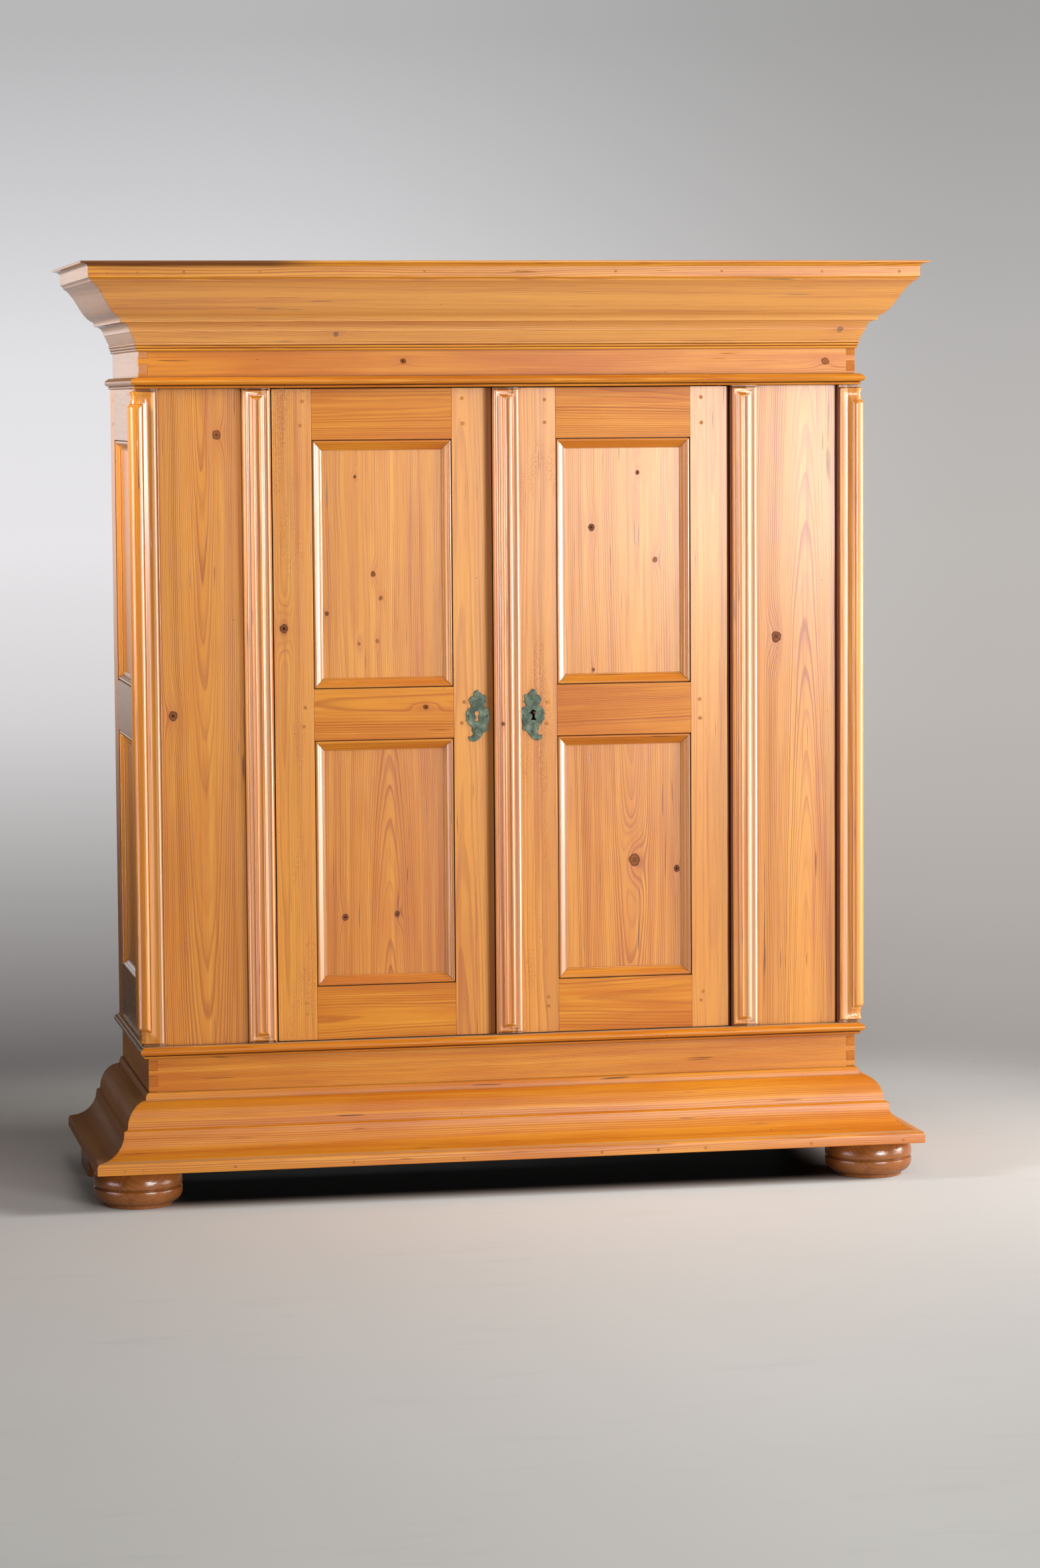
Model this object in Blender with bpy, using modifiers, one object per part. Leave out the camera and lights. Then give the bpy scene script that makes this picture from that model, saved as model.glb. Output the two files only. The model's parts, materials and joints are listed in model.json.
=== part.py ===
"""Two-door cupboard in stripped pine, with bun feet, a moulded base and a heavy cornice.

Metres, +Z up. The front faces -Y, and the origin is the middle of the footprint on the floor.
The cupboard stands as three boxes on each other: a dovetailed plinth, a framed body with two
pivoted doors, and a dovetailed frieze under the cornice.
"""

import math

import bmesh
import bpy
from mathutils import Matrix, Vector

# Heights of the members, from the floor up
FOOT_HEIGHT = 0.0775
BASE_MOULDING_HEIGHT = 0.1471
PLINTH_SHOWN = 0.0702
LOWER_WAIST_HEIGHT = 0.0229
BODY_HEIGHT = 1.3313
UPPER_WAIST_HEIGHT = 0.0224
FRIEZE_SHOWN = 0.0521
CORNICE_HEIGHT = 0.1765

# The plinth box and the frieze box, and how far the mouldings stand out from them
CASE_WIDTH = 1.4840
CASE_DEPTH = 0.5120
BOARD = 0.0180
CROWN_RECESS = 0.0050
BASE_PROJECTION = 0.1189
WAIST_PROJECTION = 0.0179
CORNICE_PROJECTION = 0.1247

# The body between the two waist mouldings
SIDE_STEP = 0.0060
FRONT_SETBACK = 0.0060
PIER_WIDTH = 0.2710
PIER_THICKNESS = 0.0240
SIDE_STILE_WIDTH = 0.0750
BACK_THICKNESS = 0.0180

# Strips planted on the piers and on the meeting stile
CORNER_LISENE_WIDTH = 0.0575
CORNER_LISENE_RELIEF = 0.0144
CORNER_LISENE_WRAP = 0.0300
DOOR_LISENE_WIDTH = 0.0580
ASTRAGAL_WIDTH = 0.0565
LISENE_RELIEF = 0.0130

# Doors
DOOR_THICKNESS = 0.0280
DOOR_END_GAP = 0.0020
HINGE_GAP = 0.0030
MEETING_GAP = 0.0020
MEETING_OFFSET = 0.0223
HINGE_STILE_WIDTH = 0.0805
LEFT_LOCK_STILE_WIDTH = 0.0817
RIGHT_LOCK_STILE_WIDTH = 0.1318
BOTTOM_RAIL_HEIGHT = 0.1092
MIDDLE_RAIL_HEIGHT = 0.1046
MIDDLE_RAIL_RISE = 0.6140
TOP_RAIL_HEIGHT = 0.1033

# Frame joints and the panels in their grooves
TENON_THICKNESS = 0.0100
TENON_LENGTH = 0.0380
TENON_SHOULDER = 0.0120
GROOVE_WIDTH = 0.0080
GROOVE_DEPTH = 0.0100
GROOVE_SETBACK = 0.0100
TONGUE_PLAY = 0.0005
PANEL_FIELD_RISE = 0.0040
PANEL_FIELD_MARGIN = 0.0120
PANEL_FIELD_SLOPE = 0.0180
PANEL_MOULDING_MARGIN = 0.0010
PANEL_MOULDING_WIDTH = 0.0205
PANEL_MOULDING_RISE = 0.0092

# Dovetails of the plinth box and the frieze box
TAIL_PITCH = 0.0320
TAIL_WIDTH = 0.0200
TAIL_SLOPE = math.tan(math.radians(10))

# Feet
BUN_RADIUS = 0.0910
BUN_OUT = 0.0260
BUN_FORWARD = 0.0100
BLOCK_OUT = 0.0980
BLOCK_WIDTH = 0.1400
BLOCK_LENGTH = 0.1440
BLOCK_FROM_REAR = 0.0560
BLOCK_EASING = 0.0050

# Shelf
SHELF_RISE = 0.6670
SHELF_THICKNESS = 0.0180
SHELF_SETBACK = 0.0630
DADO_DEPTH = 0.0080

# Pivots: a turned iron pin with a collar at the top and the bottom of each door
PIVOT_FROM_EDGE = 0.0200
PIVOT_FROM_FACE = 0.0100
PIVOT_RADIUS = 0.0040
PIVOT_COLLAR_RADIUS = 0.0085
PIVOT_TAIL = 0.0250
PIVOT_PIN = 0.0160
PIVOT_HOLE_DEPTH = 0.0175

# Escutcheons and the keyhole
ESCUTCHEON_HEIGHT = 0.1060
ESCUTCHEON_THICKNESS = 0.0016
KEYHOLE_RISE = 0.6649
RIGHT_KEYHOLE_X = 0.0607
LEFT_KEYHOLE_X = -0.0568
KEYHOLE_RADIUS = 0.0053
KEYHOLE_SLOT = 0.0050
KEYHOLE_DROP = 0.0157
KEYHOLE_FLARE = 0.0128
KEYHOLE_FLARE_HEIGHT = 0.0052
KEYHOLE_EASE = 0.0006

# Rim lock on the right door, its bolt and the keeper on the left door
LOCK_WIDTH = 0.1130
LOCK_HEIGHT = 0.0900
LOCK_DEPTH = 0.0180
LOCK_FROM_EDGE = 0.0030
DRILL_PIN_RADIUS = 0.0026
DRILL_PIN_PROUD = 0.0200
BOLT_LENGTH = 0.0440
BOLT_HEIGHT = 0.0200
BOLT_THICKNESS = 0.0080
BOLT_FROM_DOOR = 0.0040
BOLT_END_MARGIN = 0.0010
BOLT_PLAY = 0.0005
BOLT_THROW = 0.0140
KEEPER_WIDTH = 0.0135
KEEPER_FROM_EDGE = 0.0032
KEEPER_LEG = 0.0080
KEEPER_BRIDGE = 0.0035
KEEPER_PLAY = 0.0010

# Sliding bolt inside the left door
SLIDE_BOLT_WIDTH = 0.0140
SLIDE_BOLT_THICKNESS = 0.0070
SLIDE_BOLT_LENGTH = 0.1740
SLIDE_BOLT_FROM_EDGE = 0.0380
SLIDE_BOLT_FROM_DOOR = 0.0030
SLIDE_BOLT_DROP = 0.0030
SLIDE_BOLT_THROW = 0.0180
SLIDE_BOLT_PLAY = 0.0005
SLIDE_KNOB_RADIUS = 0.0050
SLIDE_KNOB_LENGTH = 0.0140
SLIDE_KNOB_RISE = 0.0200
STAPLE_HEIGHT = 0.0300
STAPLE_DROP = 0.0420
STAPLE_LEG = 0.0100
STAPLE_BRIDGE = 0.0030

# Clearances: between pieces that touch, past what a cutter cuts, of a pin in its hole, and
# between points that are one
GAP = 0.0003
OVERRUN = 0.0050
PIN_CLEARANCE = 0.0004
MERGE_DISTANCE = 0.00005

# Roundness of arcs and turned pieces, in steps
ARC_STEPS = 6
BUN_STEPS = 48
PIN_STEPS = 20
SPLINE_STEPS = 3

# Places that follow from the sizes above
HALF_CASE = CASE_WIDTH / 2
REAR_Y = (CASE_DEPTH + CORNICE_PROJECTION) / 2
FRONT_Y = REAR_Y - CASE_DEPTH
BASE_TOP = FOOT_HEIGHT + BASE_MOULDING_HEIGHT
LOWER_WAIST_BOTTOM = BASE_TOP + PLINTH_SHOWN
BODY_BOTTOM = LOWER_WAIST_BOTTOM + LOWER_WAIST_HEIGHT
BODY_TOP = BODY_BOTTOM + BODY_HEIGHT
FRIEZE_BOTTOM = BODY_TOP + UPPER_WAIST_HEIGHT
CORNICE_BOTTOM = FRIEZE_BOTTOM + FRIEZE_SHOWN
CROWN_TOP = CORNICE_BOTTOM + CORNICE_HEIGHT - CROWN_RECESS
INNER_X = HALF_CASE - BOARD
HALF_BODY = HALF_CASE + SIDE_STEP
BODY_FRONT = FRONT_Y + FRONT_SETBACK
SIDE_FRONT = BODY_FRONT + PIER_THICKNESS + GAP
BACK_FRONT = REAR_Y - BACK_THICKNESS
OPENING_X = HALF_BODY - PIER_WIDTH
DOOR_BACK = BODY_FRONT + DOOR_THICKNESS
DOOR_BOTTOM = BODY_BOTTOM + DOOR_END_GAP
DOOR_TOP = BODY_TOP - DOOR_END_GAP
HINGE_X = OPENING_X - HINGE_GAP
LEFT_FREE_X = -MEETING_OFFSET - MEETING_GAP / 2
RIGHT_FREE_X = -MEETING_OFFSET + MEETING_GAP / 2
PIVOT_X = HINGE_X - PIVOT_FROM_EDGE
PIVOT_Y = BODY_FRONT + PIVOT_FROM_FACE
LOWER_PANEL_BOTTOM = DOOR_BOTTOM + BOTTOM_RAIL_HEIGHT
LOWER_PANEL_TOP = DOOR_BOTTOM + MIDDLE_RAIL_RISE
UPPER_PANEL_BOTTOM = LOWER_PANEL_TOP + MIDDLE_RAIL_HEIGHT
UPPER_PANEL_TOP = DOOR_TOP - TOP_RAIL_HEIGHT
GROOVE_FRONT = GROOVE_SETBACK
GROOVE_BACK = GROOVE_SETBACK + GROOVE_WIDTH
SHELF_BOTTOM = BODY_BOTTOM + SHELF_RISE
SHELF_FRONT = BODY_FRONT + SHELF_SETBACK
KEYHOLE_Z = BODY_BOTTOM + KEYHOLE_RISE
MITRE_GAP = GAP / math.sqrt(2)

# Profile of the cornice: shares of its projection and of its height, from the bottom up
REED_COUNT = 3
REED_TOP_SHARE = 0.0957
REED_START_SHARES = (0.011, 0.000)
REED_END_SHARES = (0.054, REED_TOP_SHARE)
REED_SWELL_SHARE = 0.022
CORNICE_COVE_SHARES = ((0.150, 0.222), (0.295, 0.326))
CORNICE_CHAMFER_SHARES = ((0.135, 0.2159), (0.150, 0.2159))
CORNICE_FILLET_SHARES = ((0.310, 0.326), (0.3176, 0.376))
CORNICE_OGEE_SHARES = ((0.3176, 0.376), (0.545, 0.433), (0.601, 0.688), (0.8196, 0.779))
CORNICE_FASCIA_SHARES = ((0.830, 0.800), (0.869, 0.818), (0.8725, 0.930))
CORNICE_LIP_COVE_SHARES = ((0.8725, 0.930), (0.955, 0.975))
CORNICE_LIP_SHARES = ((1.0, 0.975), (1.0, 1.0))

# Profile of the base moulding, likewise
BASE_FOOT_SHARES = ((1.0, 0.0), (1.0, 0.115), (0.9815, 0.1523))
BASE_CAVETTO_SHARES = ((0.945, 0.157), (0.487, 0.511))
BASE_LEDGE_SHARES = ((0.487, 0.530), (0.430, 0.545))
BASE_OVOLO_SHARES = ((0.422, 0.5534), (0.0706, 0.902))
BASE_BEAD_SHARES = ((0.066, 0.940), (0.045, 0.985), (0.020, 1.0))

# Profile of both waist mouldings: a small bead below a rounded nose
WAIST_SHARES = (
    (0.45, 0.00), (0.55, 0.06), (0.58, 0.15), (0.52, 0.23), (0.42, 0.26), (0.62, 0.28),
    (0.88, 0.38), (1.00, 0.56), (0.95, 0.74), (0.78, 0.87), (0.60, 0.92), (0.58, 1.00),
)

# Moulding round a panel: shares of its width, from the frame inwards, and of its rise
PANEL_MOULDING_SHARES = (
    (0.00, 0.80), (0.06, 0.94), (0.17, 1.00), (0.29, 0.94), (0.34, 0.80), (0.42, 0.76),
    (0.56, 0.52), (0.72, 0.30), (0.84, 0.24), (0.86, 0.12), (1.00, 0.10),
)

# Symmetrical strips: shares of the half width, from any edge inwards, and of the relief
STRIP_SHARES = (
    (0.00, 0.30), (0.07, 0.30), (0.09, 0.44), (0.16, 0.61), (0.25, 0.69), (0.34, 0.65),
    (0.41, 0.52), (0.54, 0.54), (0.59, 0.76), (0.67, 0.93), (0.74, 1.00), (0.79, 0.97),
    (0.83, 0.86), (0.91, 0.81),
)

# Corner strips across the front: shares of the width, from the inner edge, and of the relief
CORNER_SHARES = (
    (0.00, 0.28), (0.03, 0.28), (0.04, 0.17), (0.08, 0.17), (0.10, 0.52), (0.14, 0.69),
    (0.20, 0.63), (0.30, 0.49), (0.42, 0.56), (0.52, 0.68), (0.54, 0.60), (0.58, 0.80),
    (0.64, 0.97), (0.68, 1.00), (0.72, 0.98), (0.84, 0.83), (0.91, 0.70), (0.965, 0.46),
    (0.992, 0.18),
)
# Share of the width that the mitres at their ends reach across, up to the top of the moulding
CORNER_MITRE = 0.68

# Turned bun foot: shares of its radius and of its height, down its outer side
BUN_SHARES = (
    (0.00, 1.00), (0.80, 1.00), (0.90, 0.94), (0.96, 0.84), (0.99, 0.72), (0.995, 0.60),
    (0.985, 0.54), (0.955, 0.51), (0.985, 0.48), (1.00, 0.40), (0.98, 0.28), (0.92, 0.18),
    (0.84, 0.11), (0.78, 0.095), (0.77, 0.08), (0.77, 0.00), (0.00, 0.00),
)

# Escutcheon of the right door: shares of its height from the keyhole, and whether a point is
# a sharp corner of the leafwork
ESCUTCHEON_SHARES = (
    (-0.025, 0.457, True), (0.035, 0.437, False), (0.060, 0.400, False), (0.077, 0.316, True),
    (0.111, 0.336, True), (0.150, 0.290, False), (0.165, 0.269, True), (0.144, 0.202, False),
    (0.118, 0.148, False), (0.124, 0.107, True), (0.172, 0.101, True), (0.212, 0.034, False),
    (0.221, -0.010, False), (0.212, -0.067, False), (0.219, -0.141, True),
    (0.185, -0.155, True), (0.170, -0.205, False), (0.097, -0.269, True),
    (0.107, -0.329, False), (0.071, -0.383, True), (0.097, -0.430, False),
    (0.140, -0.449, False), (0.173, -0.440, True), (0.160, -0.505, False),
    (0.095, -0.541, False), (0.035, -0.532, False), (-0.025, -0.500, False),
    (-0.077, -0.444, False), (-0.124, -0.363, True), (-0.165, -0.350, False),
    (-0.212, -0.329, True), (-0.205, -0.236, False), (-0.232, -0.135, False),
    (-0.238, -0.020, False), (-0.225, 0.044, False), (-0.212, 0.094, True),
    (-0.151, 0.125, False), (-0.151, 0.168, False), (-0.191, 0.208, True),
    (-0.158, 0.269, False), (-0.178, 0.309, False), (-0.172, 0.346, True),
    (-0.097, 0.356, True), (-0.084, 0.383, False), (-0.043, 0.417, False),
)


def clear_scene():
    for obj in list(bpy.data.objects):
        bpy.data.objects.remove(obj, do_unlink=True)


def new_collection(name):
    collection = bpy.data.collections.new(name)
    bpy.context.scene.collection.children.link(collection)
    return collection


def new_material(name, color, roughness, metallic=0.0):
    material = bpy.data.materials.new(name)
    material.use_nodes = True
    shader = material.node_tree.nodes["Principled BSDF"]
    shader.inputs["Base Color"].default_value = (*color, 1.0)
    shader.inputs["Roughness"].default_value = roughness
    shader.inputs["Metallic"].default_value = metallic
    return material


clear_scene()
PARTS = new_collection("cupboard")
CUTTERS = new_collection("cutters")
PINE = new_material("waxed_pine", (0.58, 0.28, 0.09), 0.35)
INSIDE_PINE = new_material("inside_pine", (0.62, 0.38, 0.17), 0.60)
FOOT_PINE = new_material("foot_pine", (0.25, 0.10, 0.035), 0.28)
PATINA = new_material("patinated_metal", (0.10, 0.12, 0.08), 0.45, 0.8)
IRON = new_material("dark_iron", (0.07, 0.065, 0.06), 0.50, 0.9)


def to_mesh(name, bm):
    mesh = bpy.data.meshes.new(name)
    bmesh.ops.recalc_face_normals(bm, faces=bm.faces)
    bm.to_mesh(mesh)
    bm.free()
    return mesh


def add_object(mesh, collection):
    """Gives a mesh that was modelled in place an object whose origin is the middle of its box."""
    corners = [vertex.co for vertex in mesh.vertices]
    low = Vector([min(corner[axis] for corner in corners) for axis in range(3)])
    high = Vector([max(corner[axis] for corner in corners) for axis in range(3)])
    middle = (low + high) / 2
    mesh.transform(Matrix.Translation(-middle))
    obj = bpy.data.objects.new(mesh.name, mesh)
    obj.location = middle
    collection.objects.link(obj)
    return obj


def hold(obj, parent):
    """Parents an object without moving it."""
    bpy.context.view_layer.update()
    obj.parent = parent
    obj.matrix_parent_inverse = parent.matrix_world.inverted()


def piece(mesh, material, pivot=None, smooth=False):
    if smooth:
        mesh.shade_smooth()
        mesh.set_sharp_from_angle(angle=math.radians(35))
    mesh.materials.append(material)
    obj = add_object(mesh, PARTS)
    if pivot:
        hold(obj, pivot)
    return obj


def cut(target, *meshes, operation="DIFFERENCE"):
    """Cuts each mesh out of a piece, and keeps the cutters with it."""
    for mesh in meshes:
        cutter = add_object(mesh, CUTTERS)
        cutter.hide_render = True
        cutter.display_type = "WIRE"
        hold(cutter, target)
        modifier = target.modifiers.new(mesh.name, "BOOLEAN")
        modifier.operation = operation
        modifier.solver = "EXACT"
        modifier.object = cutter


def add_box(bm, one, other):
    """Adds the box between two opposite corners."""
    low = Vector(map(min, one, other))
    high = Vector(map(max, one, other))
    made = bmesh.ops.create_cube(bm, size=1)["verts"]
    bmesh.ops.scale(bm, vec=high - low, verts=made)
    bmesh.ops.translate(bm, vec=(low + high) / 2, verts=made)


def boxes(name, *corners):
    bm = bmesh.new()
    for one, other in corners:
        add_box(bm, one, other)
    return to_mesh(name, bm)


def add_loft(bm, sections):
    """Adds the closed solid through sections that have the same number of corners."""
    rings = [[bm.verts.new(corner) for corner in section] for section in sections]
    for near, far in zip(rings, rings[1:]):
        for here in range(len(near)):
            after = (here + 1) % len(near)
            bm.faces.new((near[here], near[after], far[after], far[here]))
    bm.faces.new(rings[0])
    bm.faces.new(rings[-1])


def lofts(name, *solids):
    bm = bmesh.new()
    for sections in solids:
        add_loft(bm, sections)
    return to_mesh(name, bm)


def cylinders(name, radius, *ends):
    """Upright cylinders, each given by the middle of its two ends."""
    bm = bmesh.new()
    for bottom, top in ends:
        middle = (Vector(bottom) + Vector(top)) / 2
        bmesh.ops.create_cone(
            bm,
            cap_ends=True,
            segments=PIN_STEPS,
            radius1=radius,
            radius2=radius,
            depth=(Vector(top) - Vector(bottom)).length,
            matrix=Matrix.Translation(middle),
        )
    return to_mesh(name, bm)


def turned(name, profile, place, material, steps, pivot=None):
    """A turned piece: its profile is radius and height, down the outer side."""
    mesh = bpy.data.meshes.new(name)
    points = [(radius, 0, height) for radius, height in profile]
    edges = [(here, here + 1) for here in range(len(points) - 1)]
    mesh.from_pydata(points, edges, [])
    mesh.materials.append(material)
    obj = bpy.data.objects.new(name, mesh)
    obj.location = place
    PARTS.objects.link(obj)
    screw = obj.modifiers.new("turn", "SCREW")
    screw.steps = steps
    screw.render_steps = steps
    screw.use_merge_vertices = True
    screw.merge_threshold = MERGE_DISTANCE
    screw.use_smooth_shade = True
    if pivot:
        hold(obj, pivot)
    return obj


def scaled(shares, width, height, base=0):
    """Turns shares into lengths: across by the width, and up from the base by the height."""
    return [(across * width, base + up * height) for across, up in shares]


def quarter(ends, rises_first):
    """Points of a quarter ellipse between two profile points, without its first one."""
    (across, up), (far_across, far_up) = ends
    points = []
    for step in range(1, ARC_STEPS + 1):
        angle = math.pi / 2 * step / ARC_STEPS
        lead, lag = math.sin(angle), 1 - math.cos(angle)
        if rises_first:
            lead, lag = lag, lead
        points.append((across + (far_across - across) * lead, up + (far_up - up) * lag))
    return points


def bezier(ends, steps):
    """Points of a cubic curve through its two ends, without its first one."""
    points = []
    for step in range(1, steps + 1):
        t = step / steps
        weights = ((1 - t) ** 3, 3 * t * (1 - t) ** 2, 3 * t**2 * (1 - t), t**3)
        across = sum(weight * end[0] for weight, end in zip(weights, ends))
        up = sum(weight * end[1] for weight, end in zip(weights, ends))
        points.append((across, up))
    return points


def reeds():
    """The small half-round members below the cornice, as shares."""
    points = [REED_START_SHARES]
    start, end = Vector(REED_START_SHARES), Vector(REED_END_SHARES)
    for reed in range(REED_COUNT):
        foot = start.lerp(end, reed / REED_COUNT)
        head = start.lerp(end, (reed + 1) / REED_COUNT)
        for angle in (45, 90, 135):
            turn = math.radians(angle)
            point = foot.lerp(head, (1 - math.cos(turn)) / 2)
            points.append((point.x + REED_SWELL_SHARE * math.sin(turn), point.y))
        points.append(tuple(head))
    return points


def cornice_shares():
    return [
        *reeds(),
        *CORNICE_CHAMFER_SHARES,
        CORNICE_COVE_SHARES[0],
        *quarter(CORNICE_COVE_SHARES, True),
        *CORNICE_FILLET_SHARES,
        *bezier(CORNICE_OGEE_SHARES, 2 * ARC_STEPS),
        *CORNICE_FASCIA_SHARES,
        *quarter(CORNICE_LIP_COVE_SHARES, True),
        *CORNICE_LIP_SHARES,
    ]


def base_shares():
    return [
        *BASE_FOOT_SHARES,
        BASE_CAVETTO_SHARES[0],
        *quarter(BASE_CAVETTO_SHARES, False),
        *BASE_LEDGE_SHARES,
        BASE_OVOLO_SHARES[0],
        *quarter(BASE_OVOLO_SHARES, True),
        *BASE_BEAD_SHARES,
    ]


def planted(shares, projection, bottom, height):
    """The section of a moulding planted on the case, closed by its flat back."""
    outline = scaled(shares, projection, height, bottom)
    return [(GAP, bottom), *outline, (GAP, bottom + height)]


def front_end(section, side):
    return [(side * (HALF_CASE + out - MITRE_GAP), FRONT_Y - out, up) for out, up in section]


def side_front_end(section, side):
    return [(side * (HALF_CASE + out), FRONT_Y - out + MITRE_GAP, up) for out, up in section]


def corner(section, side):
    return [(side * (HALF_CASE + out), FRONT_Y - out, up) for out, up in section]


def rear_end(section, side):
    return [(side * (HALF_CASE + out), REAR_Y, up) for out, up in section]


def mitred_set(name, section):
    """A front moulding and two side mouldings that meet in mitres."""
    front = lofts(name + "_front", [front_end(section, -1), front_end(section, 1)])
    piece(front, PINE, smooth=True)
    for side, word in ((-1, "left"), (1, "right")):
        run = [side_front_end(section, side), rear_end(section, side)]
        piece(lofts(name + "_" + word, run), PINE, smooth=True)


def waist(name, bottom, height):
    """A waist moulding, glued up with its mitres into one piece round the front and sides."""
    section = planted(WAIST_SHARES, WAIST_PROJECTION, bottom, height)
    run = [rear_end(section, -1), corner(section, -1), corner(section, 1), rear_end(section, 1)]
    piece(lofts(name, run), PINE, smooth=True)


def tail_half_width(y):
    return TAIL_WIDTH / 2 - TAIL_SLOPE * (y - FRONT_Y)


def tail_centres(bottom, top):
    count = max(1, round((top - bottom) / TAIL_PITCH))
    pitch = (top - bottom) / count
    return [bottom + pitch * (place + 0.5) for place in range(count)]


def across_prism(inner, outer, corners):
    """A prism that runs along X between two faces, from its corners in Y and Z."""
    return [[(x, y, z) for y, z in corners] for x in (inner, outer)]


def tail_sockets(name, side, bottom, top):
    """What the tails take out of the front board, with their clearance."""
    near, far = FRONT_Y - OVERRUN, FRONT_Y + BOARD + OVERRUN
    prisms = []
    for z in tail_centres(bottom, top):
        wide, narrow = tail_half_width(near) + GAP, tail_half_width(far) + GAP
        corners = [(near, z - wide), (far, z - narrow), (far, z + narrow), (near, z + wide)]
        run = across_prism(side * (INNER_X - GAP), side * (HALF_CASE + OVERRUN), corners)
        prisms.append(run)
    return lofts(name, *prisms)


def pin_sockets(name, side, bottom, top):
    """What the pins take out of the side board: the spaces between and beside its tails."""
    near, far = FRONT_Y - OVERRUN, FRONT_Y + BOARD + GAP
    wide, narrow = tail_half_width(near), tail_half_width(far)
    centres = tail_centres(bottom, top)
    below, above = bottom - OVERRUN, top + OVERRUN
    spaces = [(below, below, centres[0] - wide, centres[0] - narrow)]
    for low, high in zip(centres, centres[1:]):
        spaces.append((low + wide, low + narrow, high - wide, high - narrow))
    spaces.append((centres[-1] + wide, centres[-1] + narrow, above, above))
    prisms = []
    for near_low, far_low, near_high, far_high in spaces:
        corners = [(near, near_low), (far, far_low), (far, far_high), (near, near_high)]
        run = across_prism(side * (INNER_X - OVERRUN), side * (HALF_CASE + OVERRUN), corners)
        prisms.append(run)
    return lofts(name, *prisms)


def dovetailed_box(name, bottom, top):
    """A front board and two side boards, joined by through dovetails at the front corners."""
    low = (-HALF_CASE, FRONT_Y, bottom)
    high = (HALF_CASE, FRONT_Y + BOARD, top)
    front = piece(boxes(name + "_front", (low, high)), PINE)
    for side, word in ((-1, "left"), (1, "right")):
        cut(front, tail_sockets(f"{name}_tail_sockets_{word}", side, bottom, top))
        low = (side * INNER_X, FRONT_Y, bottom)
        high = (side * HALF_CASE, REAR_Y, top)
        board = piece(boxes(f"{name}_{word}", (low, high)), PINE)
        cut(board, pin_sockets(f"{name}_pin_sockets_{word}", side, bottom, top))


def deck(name, bottom, top):
    """A board over the whole case, notched at the rear round the back panel."""
    notch_x, notch_y = INNER_X, BACK_FRONT - GAP
    outline = [
        (-HALF_CASE, FRONT_Y), (HALF_CASE, FRONT_Y), (HALF_CASE, REAR_Y), (notch_x, REAR_Y),
        (notch_x, notch_y), (-notch_x, notch_y), (-notch_x, REAR_Y), (-HALF_CASE, REAR_Y),
    ]
    return piece(lofts(name, [[(x, y, z) for x, y in outline] for z in (bottom, top)]), PINE)


def feet():
    centre_x = HALF_CASE + BUN_OUT
    centre_y = FRONT_Y - BUN_FORWARD
    profile = scaled(BUN_SHARES, BUN_RADIUS, FOOT_HEIGHT - GAP)
    outer_x = HALF_CASE + BLOCK_OUT
    inner_x = outer_x - BLOCK_WIDTH
    rear = REAR_Y - BLOCK_FROM_REAR
    for side, word in ((-1, "left"), (1, "right")):
        name = "bun_foot_front_" + word
        turned(name, profile, (side * centre_x, centre_y, 0), FOOT_PINE, BUN_STEPS)
        low = (side * inner_x, rear - BLOCK_LENGTH, 0)
        high = (side * outer_x, rear, FOOT_HEIGHT - GAP)
        block = piece(boxes("block_foot_rear_" + word, (low, high)), FOOT_PINE)
        easing = block.modifiers.new("easing", "BEVEL")
        easing.width = BLOCK_EASING
        easing.segments = 2


def base():
    section = planted(base_shares(), BASE_PROJECTION, FOOT_HEIGHT, BASE_MOULDING_HEIGHT)
    mitred_set("base_moulding", section)
    dovetailed_box("plinth", FOOT_HEIGHT, LOWER_WAIST_BOTTOM - GAP)
    waist("waist_moulding_lower", LOWER_WAIST_BOTTOM, LOWER_WAIST_HEIGHT)
    floor = deck("floor_board", LOWER_WAIST_BOTTOM, BODY_BOTTOM)
    cut(floor, pivot_holes("floor_pivot_holes", BODY_BOTTOM - PIVOT_HOLE_DEPTH, BODY_BOTTOM + OVERRUN))


def crown():
    waist("waist_moulding_upper", BODY_TOP, UPPER_WAIST_HEIGHT)
    ceiling = deck("ceiling_board", BODY_TOP, FRIEZE_BOTTOM)
    cut(ceiling, pivot_holes("ceiling_pivot_holes", BODY_TOP - OVERRUN, BODY_TOP + PIVOT_HOLE_DEPTH))
    low, high = slide_bolt_box()
    low = (low[0] - SLIDE_BOLT_PLAY, low[1] - SLIDE_BOLT_PLAY, BODY_TOP - OVERRUN)
    reach = SLIDE_BOLT_THROW - SLIDE_BOLT_DROP + SLIDE_BOLT_PLAY
    high = (high[0] + SLIDE_BOLT_PLAY, high[1] + SLIDE_BOLT_PLAY, BODY_TOP + reach)
    cut(ceiling, boxes("ceiling_bolt_hole", (low, high)))
    dovetailed_box("frieze", FRIEZE_BOTTOM + GAP, CROWN_TOP)
    section = planted(cornice_shares(), CORNICE_PROJECTION, CORNICE_BOTTOM, CORNICE_HEIGHT)
    mitred_set("cornice", section)


def pivot_holes(name, bottom, top):
    places = [side * PIVOT_X for side in (-1, 1)]
    ends = [((x, PIVOT_Y, bottom), (x, PIVOT_Y, top)) for x in places]
    return cylinders(name, PIVOT_RADIUS + PIN_CLEARANCE, *ends)


def framed_sections(edges, steps, place):
    """Rectangles inside an opening, one for each inset and depth, set in place by a function."""
    across, far_across, up, far_up = edges
    sections = []
    for inset, depth in steps:
        left, right, low, high = across + inset, far_across - inset, up + inset, far_up - inset
        corners = ((left, low), (right, low), (right, high), (left, high))
        sections.append([place(u, v, depth) for u, v in corners])
    return sections


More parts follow.
